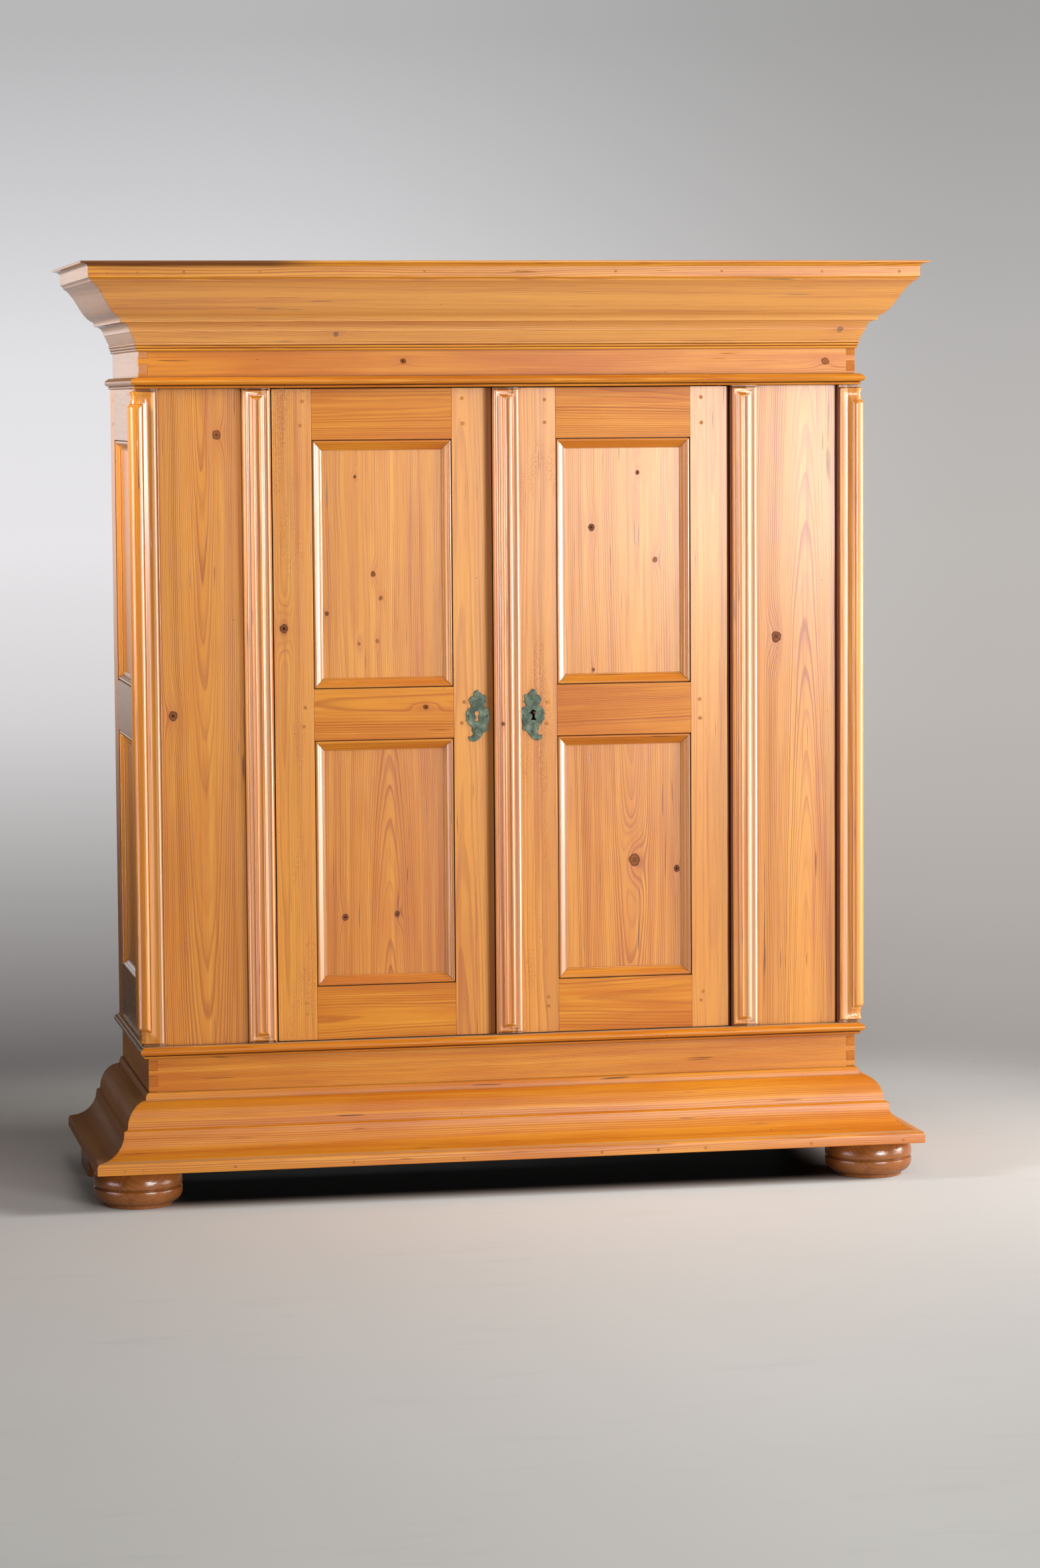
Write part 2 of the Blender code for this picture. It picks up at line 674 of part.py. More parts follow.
def panel_steps():
    """A panel from the middle of its back, round its tongue, to the middle of its front."""
    face = GROOVE_FRONT + GAP
    back = GROOVE_BACK - GAP
    tongue = -(GROOVE_DEPTH - TONGUE_PLAY)
    ring = [
        (PANEL_MOULDING_MARGIN + inward, face - rise)
        for inward, rise in scaled(PANEL_MOULDING_SHARES, PANEL_MOULDING_WIDTH, PANEL_MOULDING_RISE)
    ]
    return [
        (PANEL_FIELD_MARGIN + PANEL_FIELD_SLOPE, back + PANEL_FIELD_RISE),
        (PANEL_FIELD_MARGIN, back),
        (tongue, back),
        (tongue, face),
        (PANEL_MOULDING_MARGIN, face),
        *ring,
        (PANEL_MOULDING_MARGIN + PANEL_MOULDING_WIDTH, face),
    ]


def panel(name, edges, place, pivot=None):
    piece(lofts(name, framed_sections(edges, panel_steps(), place)), PINE, pivot, smooth=True)


def on_front(x, z, depth):
    return (x, BODY_FRONT + depth, z)


def strip(name, left, right, pivot=None, bottom=BODY_BOTTOM + GAP, top=BODY_TOP - GAP):
    """A planted strip whose moulding returns in mitres round all four edges."""
    half = (right - left) / 2
    steps = [(0, -GAP)]
    for inset, relief in scaled(STRIP_SHARES, half, LISENE_RELIEF):
        steps.append((inset, -GAP - relief))
    sections = framed_sections((left, right, bottom, top), steps, on_front)
    piece(lofts(name, sections), PINE, pivot, smooth=True)


def corner_strip(name, side):
    """A corner strip: moulded in front, rounded at the corner, and mitred at both ends."""
    bottom, top = BODY_BOTTOM + GAP, BODY_TOP - GAP
    inner = HALF_BODY + CORNER_LISENE_RELIEF - CORNER_LISENE_WIDTH
    levels = [(reach, share) for reach, share in CORNER_SHARES if reach <= CORNER_MITRE]
    runs = [(bottom + reach * CORNER_LISENE_WIDTH, reach, share) for reach, share in levels]
    levels.reverse()
    runs += [(top - reach * CORNER_LISENE_WIDTH, reach, share) for reach, share in levels]
    sections = []
    for z, reach, share in runs:
        outline = [(inner, BODY_FRONT - GAP)]
        for across, relief in CORNER_SHARES:
            x = inner + across * CORNER_LISENE_WIDTH
            if x > HALF_BODY:
                x = HALF_BODY + (x - HALF_BODY) * share
            if across > CORNER_MITRE:
                relief *= share
            elif across > reach:
                relief = share
            outline.append((x, BODY_FRONT - GAP - relief * CORNER_LISENE_RELIEF))
        edge = HALF_BODY + CORNER_LISENE_RELIEF * share
        wrap = BODY_FRONT + CORNER_LISENE_WRAP
        outline += [
            (edge, BODY_FRONT), (edge, wrap), (HALF_BODY + GAP, wrap),
            (HALF_BODY + GAP, BODY_FRONT - GAP),
        ]
        sections.append([(side * x, y, z) for x, y in outline])
    piece(lofts(name, sections), PINE, smooth=True)


def side_frame(side, word):
    """One side: a frame of stiles and rails, grooved for its panels and housed for the shelf."""
    bottom, top = BODY_BOTTOM + GAP, BODY_TOP - GAP
    outer, inner = side * HALF_BODY, side * INNER_X
    low, high = (inner, SIDE_FRONT, bottom), (outer, REAR_Y, top)
    frame = piece(boxes("side_frame_" + word, (low, high)), PINE)
    front, rear = SIDE_FRONT + SIDE_STILE_WIDTH, REAR_Y - SIDE_STILE_WIDTH
    heights = {
        "lower": (LOWER_PANEL_BOTTOM, LOWER_PANEL_TOP),
        "upper": (UPPER_PANEL_BOTTOM, UPPER_PANEL_TOP),
    }
    windows, grooves = [], []
    for lower, upper in heights.values():
        near = side * (HALF_BODY + OVERRUN)
        windows.append(((near, front, lower), (side * (INNER_X - OVERRUN), rear, upper)))
        start, end = side * (HALF_BODY - GROOVE_FRONT), side * (HALF_BODY - GROOVE_BACK)
        one = (start, front - GROOVE_DEPTH, lower - GROOVE_DEPTH)
        grooves.append((one, (end, rear + GROOVE_DEPTH, upper + GROOVE_DEPTH)))
    cut(frame, boxes(f"side_windows_{word}", *windows), boxes(f"side_grooves_{word}", *grooves))
    one = (side * (INNER_X - OVERRUN), SHELF_FRONT - GAP, SHELF_BOTTOM - GAP)
    other = (side * (INNER_X + DADO_DEPTH), REAR_Y + OVERRUN, SHELF_BOTTOM + SHELF_THICKNESS + GAP)
    cut(frame, boxes(f"shelf_housing_{word}", (one, other)))
    for level, (lower, upper) in heights.items():
        edges = (front, rear, lower, upper)
        panel(
            f"side_panel_{level}_{word}",
            edges,
            lambda y, z, depth: (side * (HALF_BODY - depth), y, z),
        )


def body():
    bottom, top = BODY_BOTTOM + GAP, BODY_TOP - GAP
    for side, word in ((-1, "left"), (1, "right")):
        low = (side * OPENING_X, BODY_FRONT, bottom)
        high = (side * HALF_BODY, BODY_FRONT + PIER_THICKNESS, top)
        piece(boxes("front_pier_" + word, (low, high)), PINE)
        corner_strip("corner_lisene_" + word, side)
        ends = sorted((side * OPENING_X, side * (OPENING_X + DOOR_LISENE_WIDTH)))
        strip("door_lisene_" + word, *ends)
        side_frame(side, word)
    reach = INNER_X - GAP
    low = (-reach, BACK_FRONT, FOOT_HEIGHT)
    piece(boxes("back_panel", (low, (reach, REAR_Y, CROWN_TOP))), INSIDE_PINE)
    reach = INNER_X + DADO_DEPTH - GAP
    low = (-reach, SHELF_FRONT, SHELF_BOTTOM)
    high = (reach, BACK_FRONT - GAP, SHELF_BOTTOM + SHELF_THICKNESS)
    piece(boxes("shelf", (low, high)), INSIDE_PINE)


def rail_heights():
    return {
        "bottom": (DOOR_BOTTOM, LOWER_PANEL_BOTTOM),
        "middle": (LOWER_PANEL_TOP, UPPER_PANEL_BOTTOM),
        "top": (UPPER_PANEL_TOP, DOOR_TOP),
    }


def tenon_depths(clearance=0):
    middle = (GROOVE_FRONT + GROOVE_BACK) / 2
    half = TENON_THICKNESS / 2 + clearance
    return BODY_FRONT + middle - half, BODY_FRONT + middle + half


def stile(name, edge, inner, pivot):
    """A door stile between its outer edge and its inner one, with a groove and three mortises."""
    low, high = (edge, BODY_FRONT, DOOR_BOTTOM), (inner, DOOR_BACK, DOOR_TOP)
    obj = piece(boxes(name, (low, high)), PINE, pivot)
    inward = math.copysign(1, inner - edge)
    start = inner + inward * OVERRUN
    low = (start, BODY_FRONT + GROOVE_FRONT, DOOR_BOTTOM + TENON_SHOULDER)
    high = (inner - inward * GROOVE_DEPTH, BODY_FRONT + GROOVE_BACK, DOOR_TOP - TENON_SHOULDER)
    cut(obj, boxes(name + "_groove", (low, high)))
    mortises = []
    near, far = tenon_depths(GAP)
    for bottom, top in rail_heights().values():
        low = (start, near, bottom + TENON_SHOULDER - GAP)
        high = (inner - inward * (TENON_LENGTH + GAP), far, top - TENON_SHOULDER + GAP)
        mortises.append((low, high))
    cut(obj, boxes(name + "_mortises", *mortises))
    return obj


def rail(name, left, right, bottom, top, grooved, pivot):
    """A door rail with a tenon at each end, and a groove for each panel that it holds."""
    near, far = tenon_depths()

    def rectangle(x, front, back, low, high):
        return [(x, front, low), (x, back, low), (x, back, high), (x, front, high)]

    def tenon(x):
        return rectangle(x, near, far, bottom + TENON_SHOULDER, top - TENON_SHOULDER)

    def full(x):
        return rectangle(x, BODY_FRONT, DOOR_BACK, bottom, top)

    start, end = left + GAP, right - GAP
    sections = [
        tenon(left - TENON_LENGTH), tenon(start), full(start),
        full(end), tenon(end), tenon(right + TENON_LENGTH),
    ]
    obj = piece(lofts(name, sections), PINE, pivot)
    grooves = []
    for edge, inward in grooved:
        low = (left - OVERRUN, BODY_FRONT + GROOVE_FRONT, edge - inward * OVERRUN)
        high = (right + OVERRUN, BODY_FRONT + GROOVE_BACK, edge + inward * GROOVE_DEPTH)
        grooves.append((low, high))
    cut(obj, boxes(name + "_grooves", *grooves))


def door(word, side, hinge_inner, lock_inner, free, pivot):
    """The frame of one door, with its two panels."""
    hinge_stile = stile(f"{word}_door_hinge_stile", side * HINGE_X, hinge_inner, pivot)
    lock_stile = stile(f"{word}_door_lock_stile", free, lock_inner, pivot)
    left, right = sorted((hinge_inner, lock_inner))
    heights = rail_heights()
    grooved = {
        "bottom": ((LOWER_PANEL_BOTTOM, -1),),
        "middle": ((LOWER_PANEL_TOP, 1), (UPPER_PANEL_BOTTOM, -1)),
        "top": ((UPPER_PANEL_TOP, 1),),
    }
    for level, (bottom, top) in heights.items():
        rail(f"{word}_door_{level}_rail", left, right, bottom, top, grooved[level], pivot)
    lower = (left, right, LOWER_PANEL_BOTTOM, LOWER_PANEL_TOP)
    upper = (left, right, UPPER_PANEL_BOTTOM, UPPER_PANEL_TOP)
    panel(f"{word}_door_lower_panel", lower, on_front, pivot)
    panel(f"{word}_door_upper_panel", upper, on_front, pivot)
    x = side * PIVOT_X
    tail = PIVOT_TAIL + PIN_CLEARANCE
    holes = (
        ((x, PIVOT_Y, DOOR_BOTTOM - OVERRUN), (x, PIVOT_Y, DOOR_BOTTOM + tail)),
        ((x, PIVOT_Y, DOOR_TOP - tail), (x, PIVOT_Y, DOOR_TOP + OVERRUN)),
    )
    radius = PIVOT_RADIUS + PIN_CLEARANCE
    cut(hinge_stile, cylinders(f"{word}_door_pivot_holes", radius, *holes))
    door_pivots(word, x, pivot)
    return lock_stile


def door_pivots(word, x, pivot):
    """The two turned pins: the tail is fixed in the stile, the pin turns in the case."""
    collar = DOOR_END_GAP / 2 - GAP
    upper = [
        (0, collar + PIVOT_PIN), (PIVOT_RADIUS, collar + PIVOT_PIN), (PIVOT_RADIUS, collar),
        (PIVOT_COLLAR_RADIUS, collar), (PIVOT_COLLAR_RADIUS, -collar), (PIVOT_RADIUS, -collar),
        (PIVOT_RADIUS, -collar - PIVOT_TAIL), (0, -collar - PIVOT_TAIL),
    ]
    lower = [(radius, -height) for radius, height in reversed(upper)]
    top, bottom = DOOR_TOP + DOOR_END_GAP / 2, DOOR_BOTTOM - DOOR_END_GAP / 2
    turned(f"{word}_door_pivot_upper", upper, (x, PIVOT_Y, top), IRON, PIN_STEPS, pivot)
    turned(f"{word}_door_pivot_lower", lower, (x, PIVOT_Y, bottom), IRON, PIN_STEPS, pivot)


def keyhole_outline(ease=0):
    """A round hole over a slot that flares at its foot, from the middle of the round."""
    radius, half, flare = KEYHOLE_RADIUS + ease, KEYHOLE_SLOT / 2 + ease, KEYHOLE_FLARE / 2 + ease
    start = math.asin(half / radius)
    points = []
    for step in range(PIN_STEPS + 1):
        angle = start + (2 * math.pi - 2 * start) * step / PIN_STEPS
        points.append((-radius * math.sin(angle), -radius * math.cos(angle)))
    neck = -(KEYHOLE_DROP - KEYHOLE_FLARE_HEIGHT)
    foot = -(KEYHOLE_DROP + ease)
    return [*points, (half, neck), (flare, foot), (-flare, foot), (-half, neck)]


def outline_mesh(name, splines, thickness, place):
    """A flat plate from closed outlines, the inner ones as holes, turned to face the front."""
    curve = bpy.data.curves.new(name, "CURVE")
    curve.dimensions = "2D"
    curve.fill_mode = "BOTH"
    curve.extrude = thickness / 2
    curve.resolution_u = SPLINE_STEPS
    curve.render_resolution_u = SPLINE_STEPS
    for points in splines:
        spline = curve.splines.new("BEZIER")
        spline.bezier_points.add(len(points) - 1)
        spline.use_cyclic_u = True
        for knot, (across, up, sharp) in zip(spline.bezier_points, points):
            knot.co = (across, up, 0)
            knot.handle_left_type = knot.handle_right_type = "VECTOR" if sharp else "AUTO"
    flat = bpy.data.objects.new(name + "_outline", curve)
    CUTTERS.objects.link(flat)
    bpy.context.view_layer.update()
    graph = bpy.context.evaluated_depsgraph_get()
    mesh = bpy.data.meshes.new_from_object(flat.evaluated_get(graph))
    mesh.name = name
    bpy.data.objects.remove(flat, do_unlink=True)
    bm = bmesh.new()
    bm.from_mesh(mesh)
    bmesh.ops.remove_doubles(bm, verts=bm.verts, dist=MERGE_DISTANCE)
    bmesh.ops.rotate(bm, matrix=Matrix.Rotation(math.pi / 2, 3, "X"), verts=bm.verts)
    bmesh.ops.translate(bm, vec=place, verts=bm.verts)
    bmesh.ops.recalc_face_normals(bm, faces=bm.faces)
    bm.to_mesh(mesh)
    bm.free()
    return mesh


def escutcheon(word, side, x, pivot):
    leaf = [
        (side * across * ESCUTCHEON_HEIGHT, up * ESCUTCHEON_HEIGHT, sharp)
        for across, up, sharp in ESCUTCHEON_SHARES
    ]
    hole = [(across, up, True) for across, up in keyhole_outline()]
    place = (x, BODY_FRONT - GAP - ESCUTCHEON_THICKNESS / 2, KEYHOLE_Z)
    mesh = outline_mesh("escutcheon_" + word, (leaf, hole), ESCUTCHEON_THICKNESS, place)
    mesh.materials.clear()
    piece(mesh, PATINA, pivot)


def keyhole_cutter():
    hole = keyhole_outline(KEYHOLE_EASE)
    ends = (BODY_FRONT - OVERRUN, DOOR_BACK + OVERRUN)
    run = [[(RIGHT_KEYHOLE_X + across, y, KEYHOLE_Z + up) for across, up in hole] for y in ends]
    return lofts("keyhole", run)


def rim_lock(door_pivot, bolt_slide):
    """The lock on the back of the right door, and its bolt, drawn back."""
    case_x = RIGHT_FREE_X + LOCK_FROM_EDGE
    back = DOOR_BACK + GAP
    half = LOCK_HEIGHT / 2
    low = (case_x, back, KEYHOLE_Z - half)
    high = (case_x + LOCK_WIDTH, back + LOCK_DEPTH, KEYHOLE_Z + half)
    lock = piece(boxes("lock_case", (low, high)), IRON, door_pivot)
    bm = bmesh.new()
    tip, root = BODY_FRONT - DRILL_PIN_PROUD, back + OVERRUN
    turn = Matrix.Rotation(math.pi / 2, 4, "X")
    middle = Vector((RIGHT_KEYHOLE_X, (tip + root) / 2, KEYHOLE_Z))
    bmesh.ops.create_cone(
        bm,
        cap_ends=True,
        segments=PIN_STEPS,
        radius1=DRILL_PIN_RADIUS,
        radius2=DRILL_PIN_RADIUS,
        depth=root - tip,
        matrix=Matrix.Translation(middle) @ turn,
    )
    cut(lock, to_mesh("drill_pin", bm), operation="UNION")
    bolt_half = BOLT_HEIGHT / 2
    bolt_x = RIGHT_FREE_X + BOLT_END_MARGIN
    near, far = DOOR_BACK + BOLT_FROM_DOOR, DOOR_BACK + BOLT_FROM_DOOR + BOLT_THICKNESS
    bolt_end = bolt_x + BOLT_LENGTH
    low = (case_x - OVERRUN, near - BOLT_PLAY, KEYHOLE_Z - bolt_half - BOLT_PLAY)
    high = (bolt_end + BOLT_PLAY, far + BOLT_PLAY, KEYHOLE_Z + bolt_half + BOLT_PLAY)
    cut(lock, boxes("bolt_channel", (low, high)))
    low = (bolt_x, near, KEYHOLE_Z - bolt_half)
    high = (bolt_end, far, KEYHOLE_Z + bolt_half)
    piece(boxes("lock_bolt", (low, high)), IRON, bolt_slide)


def keeper(pivot):
    """The staple on the left door that the lock's bolt enters."""
    half = BOLT_HEIGHT / 2 + KEEPER_PLAY
    outer = half + KEEPER_LEG
    back = DOOR_BACK + GAP
    inside = DOOR_BACK + BOLT_FROM_DOOR + BOLT_THICKNESS + KEEPER_PLAY
    rear = inside + KEEPER_BRIDGE
    outline = [
        (back, -outer), (rear, -outer), (rear, outer), (back, outer),
        (back, half), (inside, half), (inside, -half), (back, -half),
    ]
    right = LEFT_FREE_X - KEEPER_FROM_EDGE
    ends = (right - KEEPER_WIDTH, right)
    run = [[(x, y, KEYHOLE_Z + up) for y, up in outline] for x in ends]
    piece(lofts("lock_keeper", run), IRON, pivot)


def slide_bolt_box():
    """Opposite corners of the sliding bolt, drawn down."""
    right = LEFT_FREE_X - SLIDE_BOLT_FROM_EDGE
    near = DOOR_BACK + SLIDE_BOLT_FROM_DOOR
    top = BODY_TOP - SLIDE_BOLT_DROP
    low = (right - SLIDE_BOLT_WIDTH, near, top - SLIDE_BOLT_LENGTH)
    return low, (right, near + SLIDE_BOLT_THICKNESS, top)


def slide_bolt(door_pivot, slide):
    """The left door's own bolt, with its finger knob, and the staple that it runs in."""
    low, high = slide_bolt_box()
    bolt = piece(boxes("left_door_bolt", (low, high)), IRON, slide)
    middle_x = (low[0] + high[0]) / 2
    middle_y = high[1] + SLIDE_KNOB_LENGTH / 2
    bm = bmesh.new()
    bmesh.ops.create_cone(
        bm,
        cap_ends=True,
        segments=PIN_STEPS,
        radius1=SLIDE_KNOB_RADIUS,
        radius2=SLIDE_KNOB_RADIUS,
        depth=SLIDE_KNOB_LENGTH + SLIDE_BOLT_THICKNESS,
        matrix=Matrix.Translation((middle_x, middle_y, low[2] + SLIDE_KNOB_RISE))
        @ Matrix.Rotation(math.pi / 2, 4, "X"),
    )
    cut(bolt, to_mesh("slide_knob", bm), operation="UNION")
    left, right = low[0] - SLIDE_BOLT_PLAY, high[0] + SLIDE_BOLT_PLAY
    back = DOOR_BACK + GAP
    inside = high[1] + SLIDE_BOLT_PLAY
    rear = inside + STAPLE_BRIDGE
    outline = [
        (left - STAPLE_LEG, back), (left, back), (left, inside), (right, inside),
        (right, back), (right + STAPLE_LEG, back), (right + STAPLE_LEG, rear),
        (left - STAPLE_LEG, rear),
    ]
    top = BODY_TOP - STAPLE_DROP
    run = [[(x, y, z) for x, y in outline] for z in (top - STAPLE_HEIGHT, top)]
    piece(lofts("bolt_staple", run), IRON, door_pivot)


def empty(name, place, parent=None):
    marker = bpy.data.objects.new(name, None)
    marker.location = place
    PARTS.objects.link(marker)
    bpy.context.view_layer.update()
    if parent:
        hold(marker, parent)
    return marker


def doors():
    left_pivot = empty("left_door_axis", (-PIVOT_X, PIVOT_Y, DOOR_BOTTOM))
    right_pivot = empty("right_door_axis", (PIVOT_X, PIVOT_Y, DOOR_BOTTOM))
    lock_slide = empty("lock_bolt_axis", (RIGHT_FREE_X, DOOR_BACK, KEYHOLE_Z), right_pivot)
    bolt_slide_place = (LEFT_FREE_X - SLIDE_BOLT_FROM_EDGE, DOOR_BACK, BODY_TOP)
    bolt_slide = empty("left_bolt_axis", bolt_slide_place, left_pivot)
    hinge_inner = HINGE_X - HINGE_STILE_WIDTH
    left_inner = LEFT_FREE_X - LEFT_LOCK_STILE_WIDTH
    right_inner = RIGHT_FREE_X + RIGHT_LOCK_STILE_WIDTH
    door("left", -1, -hinge_inner, left_inner, LEFT_FREE_X, left_pivot)
    lock_stile = door("right", 1, hinge_inner, right_inner, RIGHT_FREE_X, right_pivot)
    cut(lock_stile, keyhole_cutter())
    ends = (RIGHT_FREE_X, RIGHT_FREE_X + ASTRAGAL_WIDTH)
    strip("astragal", *ends, right_pivot, DOOR_BOTTOM, DOOR_TOP)
    escutcheon("left", -1, LEFT_KEYHOLE_X, left_pivot)
    escutcheon("right", 1, RIGHT_KEYHOLE_X, right_pivot)
    rim_lock(right_pivot, lock_slide)
    keeper(left_pivot)
    slide_bolt(left_pivot, bolt_slide)


feet()
base()
body()
doors()
crown()
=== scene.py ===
# %% [markdown]
# A two-door cupboard in stripped and waxed pine, with bun feet, a moulded base and a heavy
# cornice. The packed model is loaded first as a fixed frame: every board, strip and iron
# fitting is in it at its real place, in metres. The cells below saw fair copies of those
# pieces, ease their edges, and give each board its own grain.

# %% The frame
import json
import math
import random

import bmesh
import bpy
from mathutils import Euler, Matrix, Vector


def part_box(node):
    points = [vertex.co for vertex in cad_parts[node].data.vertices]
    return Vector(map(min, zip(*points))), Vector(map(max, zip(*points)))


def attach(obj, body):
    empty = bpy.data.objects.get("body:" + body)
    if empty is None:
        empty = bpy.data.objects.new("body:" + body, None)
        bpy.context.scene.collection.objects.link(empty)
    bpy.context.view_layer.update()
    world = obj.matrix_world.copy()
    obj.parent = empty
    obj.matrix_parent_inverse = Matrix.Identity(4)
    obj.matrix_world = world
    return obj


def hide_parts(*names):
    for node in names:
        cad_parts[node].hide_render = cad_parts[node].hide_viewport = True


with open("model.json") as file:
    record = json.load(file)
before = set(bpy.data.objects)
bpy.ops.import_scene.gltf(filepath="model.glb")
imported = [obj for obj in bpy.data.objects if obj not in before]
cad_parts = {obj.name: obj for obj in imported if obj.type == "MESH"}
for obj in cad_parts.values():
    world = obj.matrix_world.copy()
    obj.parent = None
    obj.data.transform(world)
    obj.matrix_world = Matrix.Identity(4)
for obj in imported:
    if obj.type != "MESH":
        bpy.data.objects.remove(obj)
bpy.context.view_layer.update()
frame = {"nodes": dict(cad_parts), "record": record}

BODY_OF = {
    node: body
    for body, members in frame["record"]["behaviour"]["bodies"].items()
    for node in members
}

# %% [markdown]
# The camera stands where the photographer stood: a long lens at eye height, a little to the
# left, turned to the right and tipped slightly down. Its place and turn were solved from the
# corners of the cupboard, so the picture needs no shift.

# %% Camera
FRAME_HEIGHT = 2364
FOCAL_LENGTH_PIXELS = 6518.2
SENSOR = 36.0
CAMERA_PLACE = Vector((-1.6735, -8.87145, 1.6196))
CAMERA_TURN = Vector((-5.01, 0.88, -11.12))

camera_data = bpy.data.cameras.new("camera")
camera_data.sensor_width = SENSOR
camera_data.lens = FOCAL_LENGTH_PIXELS / FRAME_HEIGHT * SENSOR
camera = bpy.data.objects.new("camera", camera_data)
turn = Matrix.Rotation(math.radians(CAMERA_TURN.length), 4, CAMERA_TURN)
upright = Euler((math.pi / 2, 0, 0)).to_matrix().to_4x4()
camera.matrix_world = Matrix.Translation(CAMERA_PLACE) @ turn @ upright
bpy.context.scene.collection.objects.link(camera)
bpy.context.scene.camera = camera
bpy.context.scene.view_settings.view_transform = "Standard"
print("lens:", round(camera_data.lens, 1), "mm")

# %% [markdown]
# Shader maths reads best as plain sums. `Flow` wraps a socket, so that `1 - mask` or
# `a * 0.5 + b` adds the Math nodes by itself.


# %% Sums on sockets
class Flow:
    """A socket that Python can reckon with: each sum adds its Math node."""

    def __init__(self, finish, socket):
        self.finish = finish
        self.socket = socket

    def math(self, operation, *others):
        return self.finish.math(operation, self, *others)

    def __add__(self, other):
        return self.math("ADD", other)

    def __sub__(self, other):
        return self.math("SUBTRACT", other)

    def __rsub__(self, other):
        return self.finish.math("SUBTRACT", other, self)

    def __mul__(self, other):
        return self.math("MULTIPLY", other)

    def __truediv__(self, other):
        return self.math("DIVIDE", other)

    def __pow__(self, other):
        return self.math("POWER", other)

    __radd__ = __add__
    __rmul__ = __mul__


print("sums on sockets: + - * / **")

# %% [markdown]
# `Finish` holds the node tree of a material or of the world. It adds every other node through
# one method, and everything later is written with these two classes.

# %% Node trees


def colour(value):
    return value if isinstance(value, Flow) else (*value, 1.0)


def set_stops(ramp, stops):
    for place, _ in stops[2:]:
        ramp.elements.new(place)
    for element, (place, shade) in zip(ramp.elements, stops):
        element.position = place
        element.color = colour(shade)


class Finish:
    """A node tree, of a material or of the world, and the ways to add to it."""

    def __init__(self, owner):
        self.owner = owner
        owner.use_nodes = True
        self.tree = owner.node_tree
        self.tree.nodes.clear()

    def add(self, kind, settings=None, values=None, output=0):
        """Adds a node: its settings first, then the values or links of its sockets."""
        node = self.tree.nodes.new("ShaderNode" + kind)
        for key, value in (settings or {}).items():
            if key == "stops":
                set_stops(node.color_ramp, value)
            else:
                setattr(node, key, value)
        for key, value in (values or {}).items():
            if isinstance(value, Flow):
                self.tree.links.new(value.socket, node.inputs[key])
            else:
                node.inputs[key].default_value = value
        return Flow(self, node.outputs[output]) if len(node.outputs) else None

    def math(self, operation, *values):
        return self.add("Math", {"operation": operation}, dict(enumerate(values)))

    def step(self, value, low, high, top=1.0):
        """Rises smoothly from 0 to the top while the value goes from low to high."""
        values = {"Value": value, "From Min": low, "From Max": high, "To Max": top}
        return self.add("MapRange", {"interpolation_type": "SMOOTHSTEP"}, values)

    def mix(self, share, one, other):
        """Mixes two colours, with a share of the second one."""
        settings = {"data_type": "RGBA", "blend_type": "MIX"}
        return self.add("Mix", settings, {0: share, 6: colour(one), 7: colour(other)}, 2)

    def layers(self, tone, *coats):
        """Lays colours over a tone, one after the other, each with its own share."""
        for share, coat in coats:
            tone = self.mix(share, tone, coat)
        return tone

    def vector(self, x, y, z):
        return self.add("CombineXYZ", {}, {0: x, 1: y, 2: z})

    def parts(self, vector):
        node = self.add("SeparateXYZ", {}, {0: vector}).socket.node
        return [Flow(self, socket) for socket in node.outputs]

    def noise(self, place, scale, detail=1.0, roughness=0.5):
        values = {"Vector": place, "Scale": scale, "Detail": detail, "Roughness": roughness}
        return self.add("TexNoise", {}, values)

    def bump(self, height, distance, strength):
        values = {"Height": height, "Distance": distance, "Strength": strength}
        return self.add("Bump", {}, values)

    def end(self, shader):
        kind = "OutputWorld" if isinstance(self.owner, bpy.types.World) else "OutputMaterial"
        self.add(kind, {}, {"Surface": shader})
        return self.owner


print("a finish can:", ", ".join(way for way in vars(Finish) if way[0] != "_"))

# %% [markdown]
# The backdrop is a plain grey room, lighter at mid height. Low on the left it is darker with a
# painted shadow of the cupboard. It could be a wall, but a world has no edge to hide. It shows
# twice: behind the cupboard, and as the sheen on its left side. Two ramps hold its tones over the
# height, for left and right.

# %% Backdrop
# The lowest stops on the left are dark with the painted shadow of the cupboard.
SKY_LEFT = (
    (0.0, (0.14, 0.125, 0.12)), (0.06, (0.14, 0.125, 0.12)), (0.12, (0.13, 0.12, 0.12)),
    (0.165, (0.24, 0.225, 0.225)), (0.22, (0.37, 0.355, 0.355)), (0.27, (0.51, 0.495, 0.495)),
    (0.32, (0.66, 0.645, 0.65)), (0.42, (0.81, 0.795, 0.81)), (0.52, (0.77, 0.76, 0.775)),
    (0.61, (0.62, 0.615, 0.63)), (0.71, (0.48, 0.477, 0.485)),
)
SKY_RIGHT = (
    (0.0, (0.44, 0.4, 0.37)), (0.07, (0.42, 0.38, 0.36)), (0.12, (0.37, 0.34, 0.32)),
    (0.22, (0.45, 0.42, 0.4)), (0.32, (0.5, 0.47, 0.45)), (0.42, (0.51, 0.485, 0.465)),
    (0.52, (0.48, 0.465, 0.455)), (0.71, (0.36, 0.355, 0.35)),
)
RISE_SPREAD = 2.5
LEFT_TO_RIGHT = (0.12, 0.3)

world = bpy.data.worlds.new("room")
bpy.context.scene.world = world
room = Finish(world)
way = room.parts(room.add("TexCoord"))
rise = way[2] * RISE_SPREAD + 0.5
left_tones = room.add("ValToRGB", {"stops": SKY_LEFT}, {0: rise})
right_tones = room.add("ValToRGB", {"stops": SKY_RIGHT}, {0: rise})
tones = room.mix(room.step(way[0], *LEFT_TO_RIGHT), left_tones, right_tones)
print("tones of the backdrop:", len(SKY_LEFT), "on the left,", len(SKY_RIGHT), "on the right")

